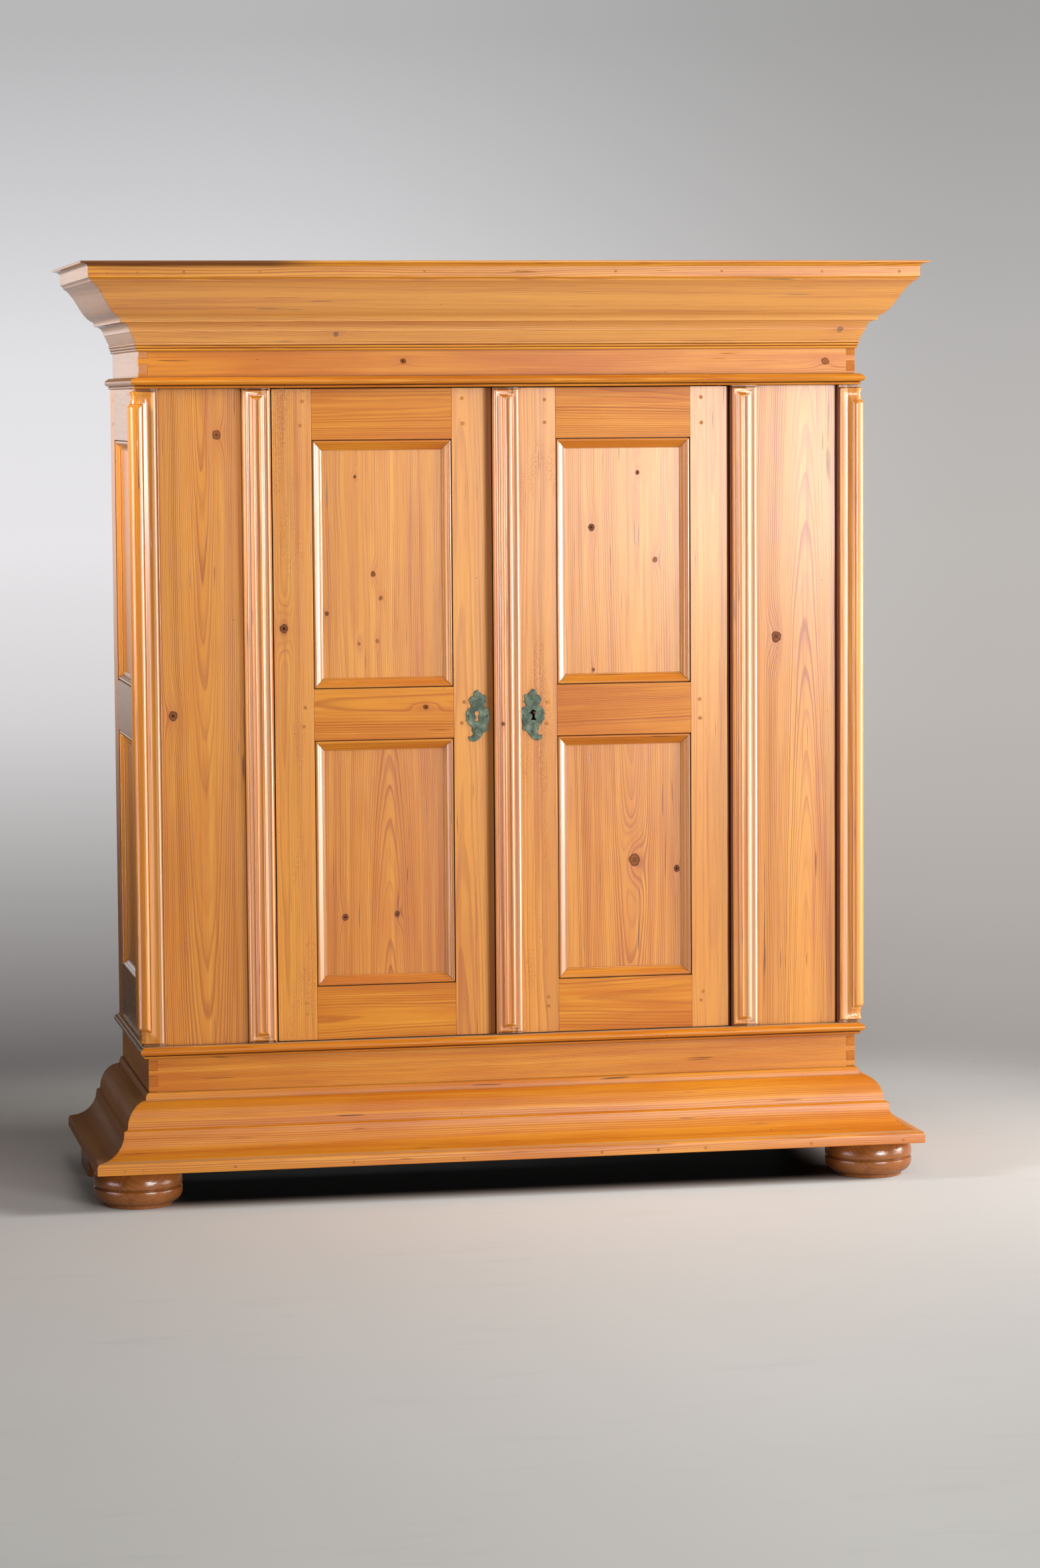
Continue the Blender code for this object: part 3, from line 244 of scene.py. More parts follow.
# %% [markdown]
# What the wax mirrors is another room. It is dark behind the photographer and high up, so the
# front reflects little but the lamps. The backdrop is mirrored only low down, and to the left
# only as a narrow band, the sheen of that side. Two bright screens, far to the left and to the
# right, show as glints on the slopes that face them. Light for the wood itself stays plain.

# %% Mirrored room
DARK_STUDIO = (0.035, 0.033, 0.031)
BACK_HALF, BACK_TOP = (-0.1, 0.3), (0.1, 0.24)
STRAIGHT_ON = (0.02, 0.07)
GLOW_SLANT, GLOW_BOTTOM, GLOW_TOP = 0.5, (-0.16, -0.09), (0.03, 0.09)
SCREEN_BOTTOM, SCREEN_TOP = (-0.45, -0.25), (0.04, 0.12)
SCREENS = (
    ((8.6, 8.2, 9.6), (-0.72, -0.9), (0.0, -0.14)),
    ((9.0, 9.0, 9.2), (0.76, 0.92), (-0.02, -0.16)),
)
PLAIN_LIGHT = (1.0, 0.99, 0.98, 1.0)
LIGHT_FROM_ROOM = 0.1

behind = room.step(way[1], *BACK_HALF) * (1 - room.step(way[2], *BACK_TOP))
beside = 1 - room.step(way[0], *STRAIGHT_ON)
slanted = way[2] + way[0] * GLOW_SLANT
glow = room.step(slanted, *GLOW_BOTTOM) * (1 - room.step(way[2], *GLOW_TOP))
mirror_tones = room.mix(behind * (1 - beside * (1 - glow)), DARK_STUDIO, tones)
level = room.step(way[2], *SCREEN_BOTTOM) * (1 - room.step(way[2], *SCREEN_TOP))
for shine, sideways, forwards in SCREENS:
    screen = room.step(way[0], *sideways) * room.step(way[1], *forwards)
    mirror_tones = room.mix(screen * level, mirror_tones, shine)
seen = room.add("LightPath", output=0)
mirrored = room.add("LightPath", output=3)
shown = room.add("Background", {}, {"Color": tones})
reflected = room.add("Background", {}, {"Color": mirror_tones})
plain = room.add("Background", {}, {"Color": PLAIN_LIGHT, "Strength": LIGHT_FROM_ROOM})
unseen = room.add("MixShader", {}, {0: mirrored, 1: plain, 2: reflected})
room.end(room.add("MixShader", {}, {0: seen, 1: unseen, 2: shown}))
print("screens that the wax mirrors:", len(SCREENS))

# %% [markdown]
# The floor is pale and warm, with soft smears and a few scuffs. A disc is enough: its rim fades
# into the backdrop, so there is no horizon. Painted shade makes it darker to the right, where the
# tall lamp lights it, and a painted shadow makes it nearly black under the cupboard. Reflections
# see it painted darker still.

# %% Floor
FLOOR_MIDDLE = Vector((0.0, -1.1))
FLOOR_SOLID, FLOOR_FADED = 2.05, 3.2
FLOOR_TONE = (0.755, 0.75, 0.72)
FLOOR_CLOUD = (0.58, 0.58, 0.56)
FLOOR_SMEAR = (0.42, 0.41, 0.41)
FLOOR_SCUFF = (0.2, 0.19, 0.19)
# Painted shade: darker to the right, a shadow under the cupboard, darker in reflections.
FLOOR_SHADED = (0.4, 0.38, 0.36)
FLOOR_FAR_RIGHT_SHADE = (0.1, 0.1, 0.1)
FLOOR_SHADOW_UNDER = (0.002, 0.002, 0.002)
FLOOR_SHADE_IN_REFLECTIONS = (0.35, 0.34, 0.33)

bm = bmesh.new()
bmesh.ops.create_circle(bm, cap_ends=True, segments=96, radius=FLOOR_FADED)
bmesh.ops.translate(bm, vec=FLOOR_MIDDLE.to_3d(), verts=bm.verts)
mesh = bpy.data.meshes.new("floor")
bm.to_mesh(mesh)
bm.free()
floor = bpy.data.objects.new("floor", mesh)
bpy.context.scene.collection.objects.link(floor)
ground = Finish(bpy.data.materials.new("floor_paint"))
place = ground.add("TexCoord", output=3)
x, y, z = ground.parts(place)
smears = ground.noise(ground.vector(x * 2.0, y * 7.0, z), 1.0, 4.0, 0.65)
scuffs = ground.noise(ground.vector(x * 9.0, y * 70.0, z), 1.0, 1.0)
# The band of painted shadow under the cupboard, from its front to its back.
shadow_under_y = ground.step(y, -0.29, -0.19) * (1 - ground.step(y, 0.22, 0.31))
tone = ground.layers(
    FLOOR_TONE,
    (ground.noise(place, 1.3, 3.0) * 0.16, FLOOR_CLOUD),
    (ground.step(smears, 0.55, 0.75, 0.1), FLOOR_SMEAR),
    (ground.step(scuffs, 0.8, 0.86, 0.35), FLOOR_SCUFF),
    # painted shade towards the right, where the tall lamp lights the floor
    (ground.step(x, -0.1, 1.1, 0.45), FLOOR_SHADED),
    (ground.step(x, 1.2, 2.6, 0.75), FLOOR_FAR_RIGHT_SHADE),
    # painted shadow under the cupboard
    ((1 - ground.step(x.math("ABSOLUTE"), 0.66, 0.84)) * shadow_under_y, FLOOR_SHADOW_UNDER),
    # painted shade that only reflections see
    (ground.add("LightPath", output=3) * 0.5, FLOOR_SHADE_IN_REFLECTIONS),
)
values = {"Base Color": tone, "Roughness": 0.6, "Specular IOR Level": 0.02}
paint = ground.add("BsdfPrincipled", {}, values)
clear = ground.add("BsdfTransparent")
away = ((x - FLOOR_MIDDLE.x) ** 2 + (y - FLOOR_MIDDLE.y) ** 2) ** 0.5
faded = ground.step(away, FLOOR_SOLID, FLOOR_FADED)
mesh.materials.append(ground.end(ground.add("MixShader", {}, {0: faded, 1: paint, 2: clear})))
print("floor: fades out between", FLOOR_SOLID, "and", FLOOR_FADED, "m from its middle")

# %% [markdown]
# The main soft box is wide and low, far back on the photographer's right, and lies as a pale
# veil on the wax of the right-hand boards. A tall one on the right only grazes the front: it
# draws the white glints along the mouldings, and each raised strip throws a soft shadow to its
# left. A small one lights the upper left side, a weak one overhead keeps the shadows open, and
# one behind lights the back alone.

# %% Lamps
LAMPS = (
    ("main_soft_box", (4.0, -9.2, 1.4), (0.1, -0.2, 1.1), (3.8, 1.2), 180, 585),
    ("edge_soft_box", (3.5, -0.9, 1.7), (0.0, -0.2, 1.1), (1.1, 2.6), 180, 180),
    ("left_soft_box", (-3.3, -0.5, 2.4), (-0.75, 0.05, 1.85), (0.7, 0.9), 55, 19),
    ("overhead_fill", (0.2, -4.2, 4.6), (0.0, -0.6, 0.6), (2.6, 2.6), 180, 60),
    ("back_soft_box", (0.0, 2.6, 1.15), (0.0, 0.3, 1.05), (0.9, 1.0), 35, 3.2),
)

for name, stand, aim, size, spread, power in LAMPS:
    data = bpy.data.lights.new(name, "AREA")
    data.shape = "RECTANGLE"
    data.size, data.size_y = size
    data.spread = math.radians(spread)
    data.energy = power
    lamp = bpy.data.objects.new(name, data)
    lamp.location = stand
    lamp.visible_camera = False
    lamp.rotation_euler = (Vector(aim) - Vector(stand)).to_track_quat("-Z", "Y").to_euler()
    bpy.context.scene.collection.objects.link(lamp)
print("lamps:", len(LAMPS))

# %% [markdown]
# Pine shows its year rings: fine lines, or long arches where the saw ran along the rings. Both
# come out of one idea: each board is cut from a trunk whose heart runs nearly along the board,
# some centimetres behind its face. The distance from that heart, divided by the width of a ring,
# tells which ring a point is in. A little unevenness turns straight lines into flames.

# %% Rings
AXES = {"X": 0, "Y": 1, "Z": 2}


def board_space(finish, axes, middle):
    """Metres along the grain, across it and through the board, from the board's middle."""
    place = finish.parts(finish.add("TexCoord", output=3))
    return [place[AXES[axis]] - middle[AXES[axis]] for axis in axes]


def drawn_out(finish, space, scales, shift=0.0, detail=1.0, roughness=0.5):
    """A noise with its own scale along, across and through the board."""
    along, across, through = [part * scale for part, scale in zip(space, scales)]
    return finish.noise(finish.vector(along + shift, across, through), 1.0, detail, roughness)


def rings(finish, space, figure, bulges):
    """The distance from the heart of the trunk, bent by slow wander and by the knots."""
    along, across, through = space
    wander = drawn_out(finish, space, (1.1, 3.5, 3.5), figure["shift"], 2.0) - 0.5
    flutter = drawn_out(finish, space, (4.2, 27.0, 27.0), figure["shift"], 2.0) - 0.5
    side = across - figure["heart"] + wander * figure["wander"]
    depth = through * figure["inward"] + along * figure["lean"] + figure["depth"]
    distance = (side**2 + depth**2) ** 0.5 + flutter * figure["flames"]
    for bulge in bulges:
        distance = distance + bulge
    return distance


print("axes:", ", ".join(AXES))

# %% [markdown]
# A knot is a branch that the trunk grew round. The rings bulge round it, so they close into
# eyes, and the branch itself shows as a red-brown disc with a dark rim, with a reddish cast
# along the grain. The larger knots sit where the photograph has them.

# %% Knots
KNOT_ROUGHNESS = 130.0
HALO_LENGTH, HALO_WIDTH = 5.5, 1.9
DISC_LENGTH = 1.15


def knot_masks(finish, space, knots):
    """For each knot: how far it bends the rings, its disc, its rim, its heart and its cast."""
    along, across, through = space
    ragged = finish.noise(finish.vector(along, across, through), KNOT_ROUGHNESS, 2.0) - 0.5
    masks = []
    for up, over, size, dark in knots:
        rise = (along - up) / size
        run = (across - over) / size
        squares = (rise / HALO_LENGTH) ** 2 + (run / HALO_WIDTH) ** 2
        halo = finish.math("POWER", math.e, squares * -1.0)
        reach = ((rise / DISC_LENGTH) ** 2 + run**2) ** 0.5 + ragged * 0.6
        disc = 1 - finish.step(reach, 0.85, 1.15)
        rim = disc * finish.step(reach, 0.68, 1.0)
        heart = (1 - finish.step(reach, 0.25, 0.6)) * dark
        masks.append((halo * size * 1.4, disc * (dark * 0.35 + 0.6), rim, heart, halo))
    return masks


print("halo of a knot:", HALO_LENGTH, "times its size along the grain,", HALO_WIDTH, "across")

# %% [markdown]
# The colours of old waxed pine: pale early wood, darker late wood, a honey cast that comes and
# goes along the board, paler and redder streaks. The late wood is drawn as lines whose strength
# changes from ring to ring, with fine fibres over everything. Raw wood has its own, greyer pair.

# %% Clean wood
EARLY = (0.685, 0.272, 0.018)
LATE = (0.36, 0.085, 0.006)
HONEY = (0.52, 0.148, 0.008)
PALE_STREAK = (0.76, 0.345, 0.036)
RED_CAST = (0.45, 0.11, 0.015)
RAW = (0.47, 0.285, 0.135)
RAW_LATE = (0.33, 0.165, 0.065)
LATE_STRENGTH = 1.35
FIBRE_SCALES = (9.0, 620.0, 620.0)


def grain(finish, space, figure, bulges):
    """The tone of the clean wood, the strength of its late lines, and its fibres."""
    shift = figure["shift"]
    distance = rings(finish, space, figure, bulges)
    phase = (distance / figure["pitch"]).math("FRACT")
    late = finish.step(phase, 0.25, 0.88) * (1 - finish.step(phase, 0.91, 1.0))
    per_ring = finish.noise(finish.vector(distance * 190.0 + shift, 0.5, 0.5), 1.0, 3.0, 0.7)
    lines = late * finish.step(per_ring, 0.34, 0.7) * (figure["contrast"] * LATE_STRENGTH)
    fibres = drawn_out(finish, space, FIBRE_SCALES, 0.0, 2.0, 0.6)
    cast = drawn_out(finish, space, (1.6, 9.0, 6.0), shift, 3.0, 0.6)
    streaks = drawn_out(finish, space, (1.3, 70.0, 70.0), shift, 3.0, 0.6)
    mottle = drawn_out(finish, space, (2.4, 24.0, 24.0), shift, 4.0, 0.65)
    honey = (finish.step(cast, 0.36, 0.66) * 0.7 + 0.3) * figure["honey"]
    tone = finish.layers(
        EARLY,
        (honey, HONEY),
        (finish.step(streaks, 0.52, 0.72, 0.55), PALE_STREAK),
        (1 - finish.step(streaks, 0.28, 0.48), HONEY),
        (finish.step(per_ring, 0.5, 0.78, 0.12), RED_CAST),
        (finish.step(mottle, 0.5, 0.78, 0.26), LATE),
        (lines, LATE),
        (finish.step(fibres, 0.48, 0.78, 0.4), LATE),
    )
    return tone, lines, fibres


print("late lines at", LATE_STRENGTH, "times the contrast that is drawn for a board")

# %% [markdown]
# Two centuries leave marks: dark knots, short checks along the grain, worm and nail holes, and
# patches where the old finish is crazed. Each is a mask that is mixed over the tone, and the
# deeper ones are pressed into the surface as well.

# %% Marks
KNOT_DISC = (0.215, 0.062, 0.018)
KNOT_RIM = (0.022, 0.008, 0.005)
DIRT_AND_SHADE = (0.04, 0.012, 0.005)
HOLES_PER_METRE = 26.0
CRACKS_PER_METRE = 230.0


def knotted(finish, tone, dull, masks):
    """Lays the knots over the tone, and adds how dull they are."""
    for _, disc, rim, heart, halo in masks:
        dull = dull + disc
        dark = (rim + heart).math("MINIMUM", 1.0)
        tone = finish.layers(tone, (halo * 0.42, RED_CAST), (disc, KNOT_DISC), (dark, KNOT_RIM))
    return tone, dull


def checks_and_holes(finish, space, shift):
    """Masks of dark checks along the grain, and of worm and nail holes."""
    along, across, through = space
    checks = finish.step(drawn_out(finish, space, (7.0, 210.0, 210.0), shift), 0.725, 0.79)
    values = {"Vector": finish.vector(along + shift, across, through), "Scale": HOLES_PER_METRE}
    cells = finish.add("TexVoronoi", {}, values).socket.node
    near = Flow(finish, cells.outputs["Distance"])
    kind = finish.parts(Flow(finish, cells.outputs["Color"]))[0]
    holes = (1 - finish.step(near, 0.02, 0.04)) * finish.step(kind, 0.68, 0.7)
    return checks, holes


def crazing(finish, space, shift):
    """A mask of the fine net of cracks that old finish gets in patches."""
    along, across, through = space
    place = finish.vector(along * 0.45 + shift, across, through)
    values = {"Vector": place, "Scale": CRACKS_PER_METRE}
    cracks = finish.add("TexVoronoi", {"feature": "DISTANCE_TO_EDGE"}, values)
    patch = drawn_out(finish, space, (4.0, 20.0, 1.0), shift, 2.0)
    return (1 - finish.step(cracks, 0.0, 0.06)) * finish.step(patch, 0.54, 0.62)


def marked(finish, space, figure, tone, lines, fibres):
    """Lays checks, holes and crazing over the tone, and gives the relief of the surface."""
    checks, holes = checks_and_holes(finish, space, figure["shift"])
    tone = finish.layers(tone, (checks * 0.75, DIRT_AND_SHADE), (holes * 0.9, DIRT_AND_SHADE))
    relief = lines * -0.35 + fibres * 0.3 - holes * 3.0 - checks * 1.5
    if figure["crazed"]:
        crazed = crazing(finish, space, figure["shift"])
        tone = finish.mix(crazed * 0.5, tone, LATE)
        relief = relief - crazed * 0.6
    return tone, relief


print("cells that may hold a worm hole:", HOLES_PER_METRE, "to the metre")

# %% [markdown]
# Then comes what use left on the wood, with some painted light. End grain is darker, because it
# drank more wax. Ambient occlusion darkens the quirks, as dirt and as painted shade. Painted
# shadows lie beside the raised strips, dust lies on what faces up, and the proudest beads are
# rubbed pale, partly as wear and partly as painted glints.

# %% Use
END_GRAIN = (0.38, 0.115, 0.02)
# dust; on the base's left side, the side's lying boards and the door sticks also painted shade
GREY_DUST_AND_SHADE = (0.12, 0.07, 0.045)
# painted shadow beside the strips, and also the colour of the cornice's real stain
SHADOW_AND_STAIN = (0.055, 0.005, 0.002)
# pale wear, and painted glint on the proudest beads
PALE_WEAR_AND_GLINT = (0.82, 0.55, 0.36)
QUIRK = 0.01
BAND_EDGE = 0.0018


def facing(finish, axis):
    """How far the surface faces along an axis, from -1 to 1."""
    return finish.parts(finish.add("NewGeometry", output=1))[AXES[axis]]


def end_of_board(finish, axes):
    """Shows where the surface is cut across the grain."""
    return finish.step(facing(finish, axes[0]).math("ABSOLUTE"), 0.75, 0.97)


def soiled_and_shaded(finish, space, figure, tone, dull, fibres, end):
    """Darkens end grain, and quirks with dirt and painted shade. Lays on painted shadows beside
    the strips, one stain, and dust on ledges, and adds how dull they are.
    """
    along, across, _ = space
    tone = finish.mix(end * (fibres * 0.6 + 0.3), tone, END_GRAIN)
    # Occlusion darkens the quirks: partly real dirt, partly painted shade.
    nook = finish.add("AmbientOcclusion", {"samples": 6}, {"Distance": QUIRK}, 1)
    dirt_and_shade = (1 - finish.step(nook, 0.3, 0.78)) * (fibres * 0.5 + 0.75)
    tone = finish.mix(dirt_and_shade.math("MINIMUM", 0.95), tone, DIRT_AND_SHADE)
    # Painted shadows beside the strips, and one real stain; dull keeps the sheen off them.
    for clean, darkest_edge, strength, *reach in figure["shadowed_and_stained"]:
        shadow_and_stain = finish.step(across + fibres * 0.002, clean, darkest_edge, strength)
        if reach:
            shadow_and_stain = shadow_and_stain * finish.step(along, *reach)
        tone = finish.mix(shadow_and_stain, tone, SHADOW_AND_STAIN)
        dull = dull + shadow_and_stain
    ledge = finish.step(facing(finish, "Z"), 0.96, 0.995)
    tone = finish.mix(ledge * 0.55, tone, RAW)
    return tone, (dull + dirt_and_shade * 0.5 + ledge).math("MINIMUM", 1.0)


def worn_and_glinting(finish, space, figure, tone, end):
    """Lays on rubbed lines, pale bands of wear and painted glint, and grey dust that is partly
    painted shade, and gives the rubbed lines.
    """
    across = space[1]
    thin = drawn_out(finish, space, (1.2, 520.0, 520.0), figure["shift"], 2.0)
    rubbed = finish.step(thin, 0.4, 0.6) * figure["lined"]
    tone = finish.mix(rubbed * 0.45, tone, LATE)
    # pale bands: partly wear, partly painted glints along the beads
    for low, high, strength in figure["worn_and_glinting"]:
        band = finish.step(across, low, low + BAND_EDGE)
        band = band * finish.step(across, high, high - BAND_EDGE)
        band = band * (1 - rubbed * 0.35) * (1 - end) * strength
        tone = finish.mix(band, tone, PALE_WEAR_AND_GLINT)
    # dust; for some styles it is partly painted shade and sheen
    return finish.mix((1 - end) * figure["dust"], tone, GREY_DUST_AND_SHADE), rubbed


# The darkening in quirks is dirt and painted shade.
print("dirt in quirks up to", QUIRK, "m from an edge")

# %% [markdown]
# All layers meet in one shader for each board. Wax gives a soft sheen with a thin coat over it,
# and both fade where the wood is dull or rubbed. The inner side of a board is raw. The relief
# stays fine, with the slow ripple of a hand plane.

# %% Pine
COAT_ROUGHNESS = 0.17
RELIEF_DEPTH = 0.0005
RAW_EDGE = 0.003


def pine(name, axes, middle, figure, knots=(), raw_from=None):
    """A waxed pine finish for one board."""
    finish = Finish(bpy.data.materials.new(name))
    space = board_space(finish, axes, middle)
    end = end_of_board(finish, axes)
    masks = knot_masks(finish, space, knots)
    tone, lines, fibres = grain(finish, space, figure, [mask[0] for mask in masks])
    tone, dull = knotted(finish, tone, end * 0.6, masks)
    tone, relief = marked(finish, space, figure, tone, lines, fibres)
    tone, dull = soiled_and_shaded(finish, space, figure, tone, dull, fibres, end)
    tone, rubbed = worn_and_glinting(finish, space, figure, tone, end)
    # dull also holds the painted shadows and the shaded quirks, so sheen and coat leave them dark
    sheen = fibres * 0.12 + figure["rough"] + dull * 0.7 + rubbed * 0.3
    coat = (1 - dull) * (1 - rubbed * 0.5) * figure["gloss"]
    if raw_from is not None:
        inner = finish.step(space[2] * figure["inward"], raw_from, raw_from + RAW_EDGE)
        if raw_from > 0:
            inner = inner * finish.step(facing(finish, axes[2]) * figure["inward"], 0.2, 0.6)
        tone = finish.mix(inner * 0.85, tone, finish.mix(lines * 0.7, RAW, RAW_LATE))
        sheen = sheen + inner * 0.25
        coat = (1 - inner) * coat
    ripple = drawn_out(finish, space, (3.0, 14.0, 14.0), figure["shift"])
    wood = {
        "Base Color": tone,
        "Roughness": sheen,
        "Coat Weight": coat,
        "Coat Roughness": COAT_ROUGHNESS,
        "IOR": figure["ior"],
        "Normal": finish.bump(relief + ripple * 2.2, RELIEF_DEPTH, 0.55),
    }
    return finish.end(finish.add("BsdfPrincipled", {}, wood))


print("coat of the wax: roughness", COAT_ROUGHNESS)

# %% [markdown]
# No two boards came off a trunk in the same way. So each draws its figure from its own name:
# the width of its rings, where the heart lay behind its face, how strong its lines are.

# %% The figure of a board


def drawn_figure(name, inward, **given):
    """Draws how one board was cut from its trunk, unless a value is given."""
    draw = random.Random(name)
    figure = {
        "pitch": draw.uniform(0.0024, 0.0042),
        "depth": draw.uniform(0.03, 0.085),
        "heart": draw.uniform(-0.06, 0.06),
        "lean": draw.uniform(-0.02, 0.02),
        "wander": draw.uniform(0.02, 0.05),
        "shift": draw.uniform(0.0, 90.0),
        "contrast": draw.uniform(0.4, 0.75),
        "honey": draw.uniform(0.15, 0.5),
        "flames": 0.0045,
        "rough": 0.29,
        "gloss": 0.2,
        "ior": 1.47,
        "lined": 0.0,
        "crazed": False,
        "dust": 0.0,
        "shadowed_and_stained": (),
        "worn_and_glinting": (),
        "inward": inward,
    }
    figure.update(given)
    return figure


print("values of a figure:", len(drawn_figure("any board", 1)))

# %% [markdown]
# The packed solids are exact, but their mesh is loose triangles with knife-sharp edges, and
# nothing that has been waxed for two centuries is that sharp. So each piece is a fair copy: its
# doubles are merged, its flat faces made whole, and its outer edges eased, by a quarter of a
# millimetre on the thin key plates and by about one on the base moulding.

# %% Fair copies
TOUCHING = 0.00002
FLAT = math.radians(0.6)
SHARP = math.radians(28)
PLAIN_EDGE = 0.0005


def fair_copy(node):
    bm = bmesh.new()
    bm.from_mesh(frame["nodes"][node].data)
    bmesh.ops.remove_doubles(bm, verts=bm.verts, dist=TOUCHING)
    bmesh.ops.dissolve_limit(bm, angle_limit=FLAT, verts=bm.verts, edges=bm.edges)
    return bm


def ease(bm, width):
    """Rounds the sharp outward edges."""
    edges = [
        edge
        for edge in bm.edges
        if edge.is_manifold and edge.is_convex and edge.calc_face_angle() > SHARP
    ]
    bmesh.ops.bevel(
        bm, geom=edges, offset=width, offset_type="OFFSET", segments=2, profile=0.5,
        affect="EDGES", clamp_overlap=True, material=-1,
    )


def settle(bm, name, finish, node=None, body=None):
    """Makes the piece, with smooth curves and crisp arrises, and lets it ride on its body."""
    mesh = bpy.data.meshes.new(name)
    bm.to_mesh(mesh)
    bm.free()
    mesh.shade_smooth()
    mesh.set_sharp_from_angle(angle=SHARP)
    mesh.materials.clear()
    mesh.materials.append(finish)
    piece = bpy.data.objects.new(name, mesh)
    bpy.context.scene.collection.objects.link(piece)
    weighted = piece.modifiers.new("flat faces first", "WEIGHTED_NORMAL")
    weighted.keep_sharp = True
    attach(piece, body or BODY_OF[node])
    if node:
        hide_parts(node)


def eased_piece(node, width, ending, finish):
    bm = fair_copy(node)
    ease(bm, width)
    settle(bm, f"{node}_{ending}", finish, node)


print("edges of more than", round(math.degrees(SHARP)), "degrees are eased")

# %% [markdown]
# Some packed solids stand for several boards of the real cupboard. A copy of such a solid is
# sawn for each board: cut along planes, the waste thrown away and the cut capped.

# %% Sawing


def saw(bm, point, waste):
    """Saws a copy along a plane, throws away the side that waste points to, and caps the cut."""
    everything = [*bm.verts, *bm.edges, *bm.faces]
    cut = bmesh.ops.bisect_plane(
        bm, geom=everything, dist=TOUCHING, plane_co=point, plane_no=waste, clear_outer=True
    )
    rim = [item for item in cut["geom_cut"] if isinstance(item, bmesh.types.BMEdge)]
    bmesh.ops.holes_fill(bm, edges=rim, sides=0)


def sawn_copy(node, cuts, kerf):
    """A fair copy after some cuts, each of them a kerf inside its plane."""
    bm = fair_copy(node)
    for point, waste in cuts:
        saw(bm, Vector(point) - Vector(waste) * kerf, Vector(waste))
    return bm


def box_of(bm):
    corners = [vertex.co for vertex in bm.verts]
    low = Vector([min(corner[axis] for corner in corners) for axis in range(3)])
    high = Vector([max(corner[axis] for corner in corners) for axis in range(3)])
    return low, high


print("doubles are closer than", round(TOUCHING * 1000, 3), "mm")

# %% [markdown]
# A knot is what the eye finds first on plain pine, so the larger ones are not left to chance.
# Each has its height, its place from left to right, its size, and how dark its heart is.

# %% Places of the knots
FRONT_KNOTS = {
    "left_door_upper_panel": (
        (1.4686, -0.3035, 0.003, 1.0), (1.2705, -0.2678, 0.005, 0.7),
        (1.2217, -0.2528, 0.0038, 0.2), (1.1912, -0.364, 0.0042, 0.6),
        (1.1293, -0.2981, 0.003, 0.0), (1.1341, -0.2605, 0.0034, 0.0),
    ),
    "right_door_upper_panel": (
        (1.4715, 0.2841, 0.0042, 1.0), (1.3598, 0.1867, 0.0066, 1.0),
        (1.292, 0.3204, 0.005, 0.3), (1.0675, 0.1893, 0.0034, 0.4),
    ),
    "left_door_lower_panel": ((0.5694, -0.332, 0.0062, 1.0), (0.573, -0.2248, 0.0056, 0.7)),
    "right_door_lower_panel": ((0.6714, 0.2742, 0.011, 0.5), (0.651, 0.3642, 0.0062, 1.0)),
    "front_pier_left": ((1.5554, -0.5863, 0.0085, 0.6), (0.9899, -0.6813, 0.0085, 0.8)),
    "front_pier_right": ((1.1291, 0.575, 0.01, 0.6),),
    "left_door_middle_rail": ((0.9981, -0.1631, 0.005, 0.9),),
    "left_door_hinge_stile": ((1.163, -0.4536, 0.008, 1.0),),
    "cornice_front": ((1.7556, -0.344, 0.0048, 0.8), (1.7625, 0.7057, 0.0055, 0.5)),
    "frieze_front": ((1.7016, -0.2046, 0.005, 0.9), (1.6971, 0.6787, 0.007, 0.1)),
    "astragal": ((0.9608, -0.0046, 0.0036, 0.8),),
}
print("knots that have a place:", sum(len(knots) for knots in FRONT_KNOTS.values()))

# %% [markdown]
# Wax wears in its own way on each part. The lying boards of the front are the duller ones; on
# the sides they are smoother, and dustier, with a grey that partly paints their sheen and shade.
# The base's left side gets more of that grey as painted shade, and the door sticks a little. The
# raised strips are rubbed to a harder shine. Piers and lower panels were sawn so that their rings
# open into flames.

# %% Styles of wax
LYING_FRONT = {"rough": 0.3, "gloss": 0.0, "ior": 1.36, "honey": 1.0, "contrast": 0.6}
BASE_FRONT = {**LYING_FRONT, "contrast": 0.75, "ior": 1.47}
RAIL = {**LYING_FRONT, "contrast": 0.85, "ior": 1.3}
CORNICE = {**LYING_FRONT, "honey": 0.0, "pitch": 0.0032, "ior": 1.45}
# on the left side: the grey dust partly paints a grey sheen and shade
LYING_SIDE = {"dust": 0.45, "rough": 0.2, "ior": 1.75, "gloss": 1.0}
UPRIGHT_SIDE = {"rough": 0.24, "ior": 1.6, "gloss": 0.85, "honey": 0.9}
RIGHT_SIDE = {"rough": 0.3, "gloss": 0.0, "ior": 1.36, "honey": 0.8}
# the base's left side: its grey dust is mostly painted shade
BASE_SIDE = {"dust": 0.54, "rough": 0.42, "ior": 1.38, "gloss": 0.0, "honey": 1.0}
RUBBED_STRIP = {"rough": 0.2, "ior": 1.6, "gloss": 0.5, "lined": 1.0}
# the door sticks: their grey dust is partly painted shade
DOOR_STICK = {**RUBBED_STRIP, "dust": 0.3}
MEETING_STRIP = {**RUBBED_STRIP, "gloss": 0.25, "honey": 0.8}
FLAMED = {"flames": 0.004, "wander": 0.018, "contrast": 0.9, "pitch": 0.0034}
LEFT_PIER = {**FLAMED, "heart": -0.005, "depth": 0.044, "lean": -0.03, "contrast": 0.8}
RIGHT_PIER = {**FLAMED, "heart": 0.025, "depth": 0.046, "lean": 0.035}
CRAZED = {"crazed": True}
print("refraction of the wax: from", RAIL["ior"], "to", LYING_SIDE["ior"])

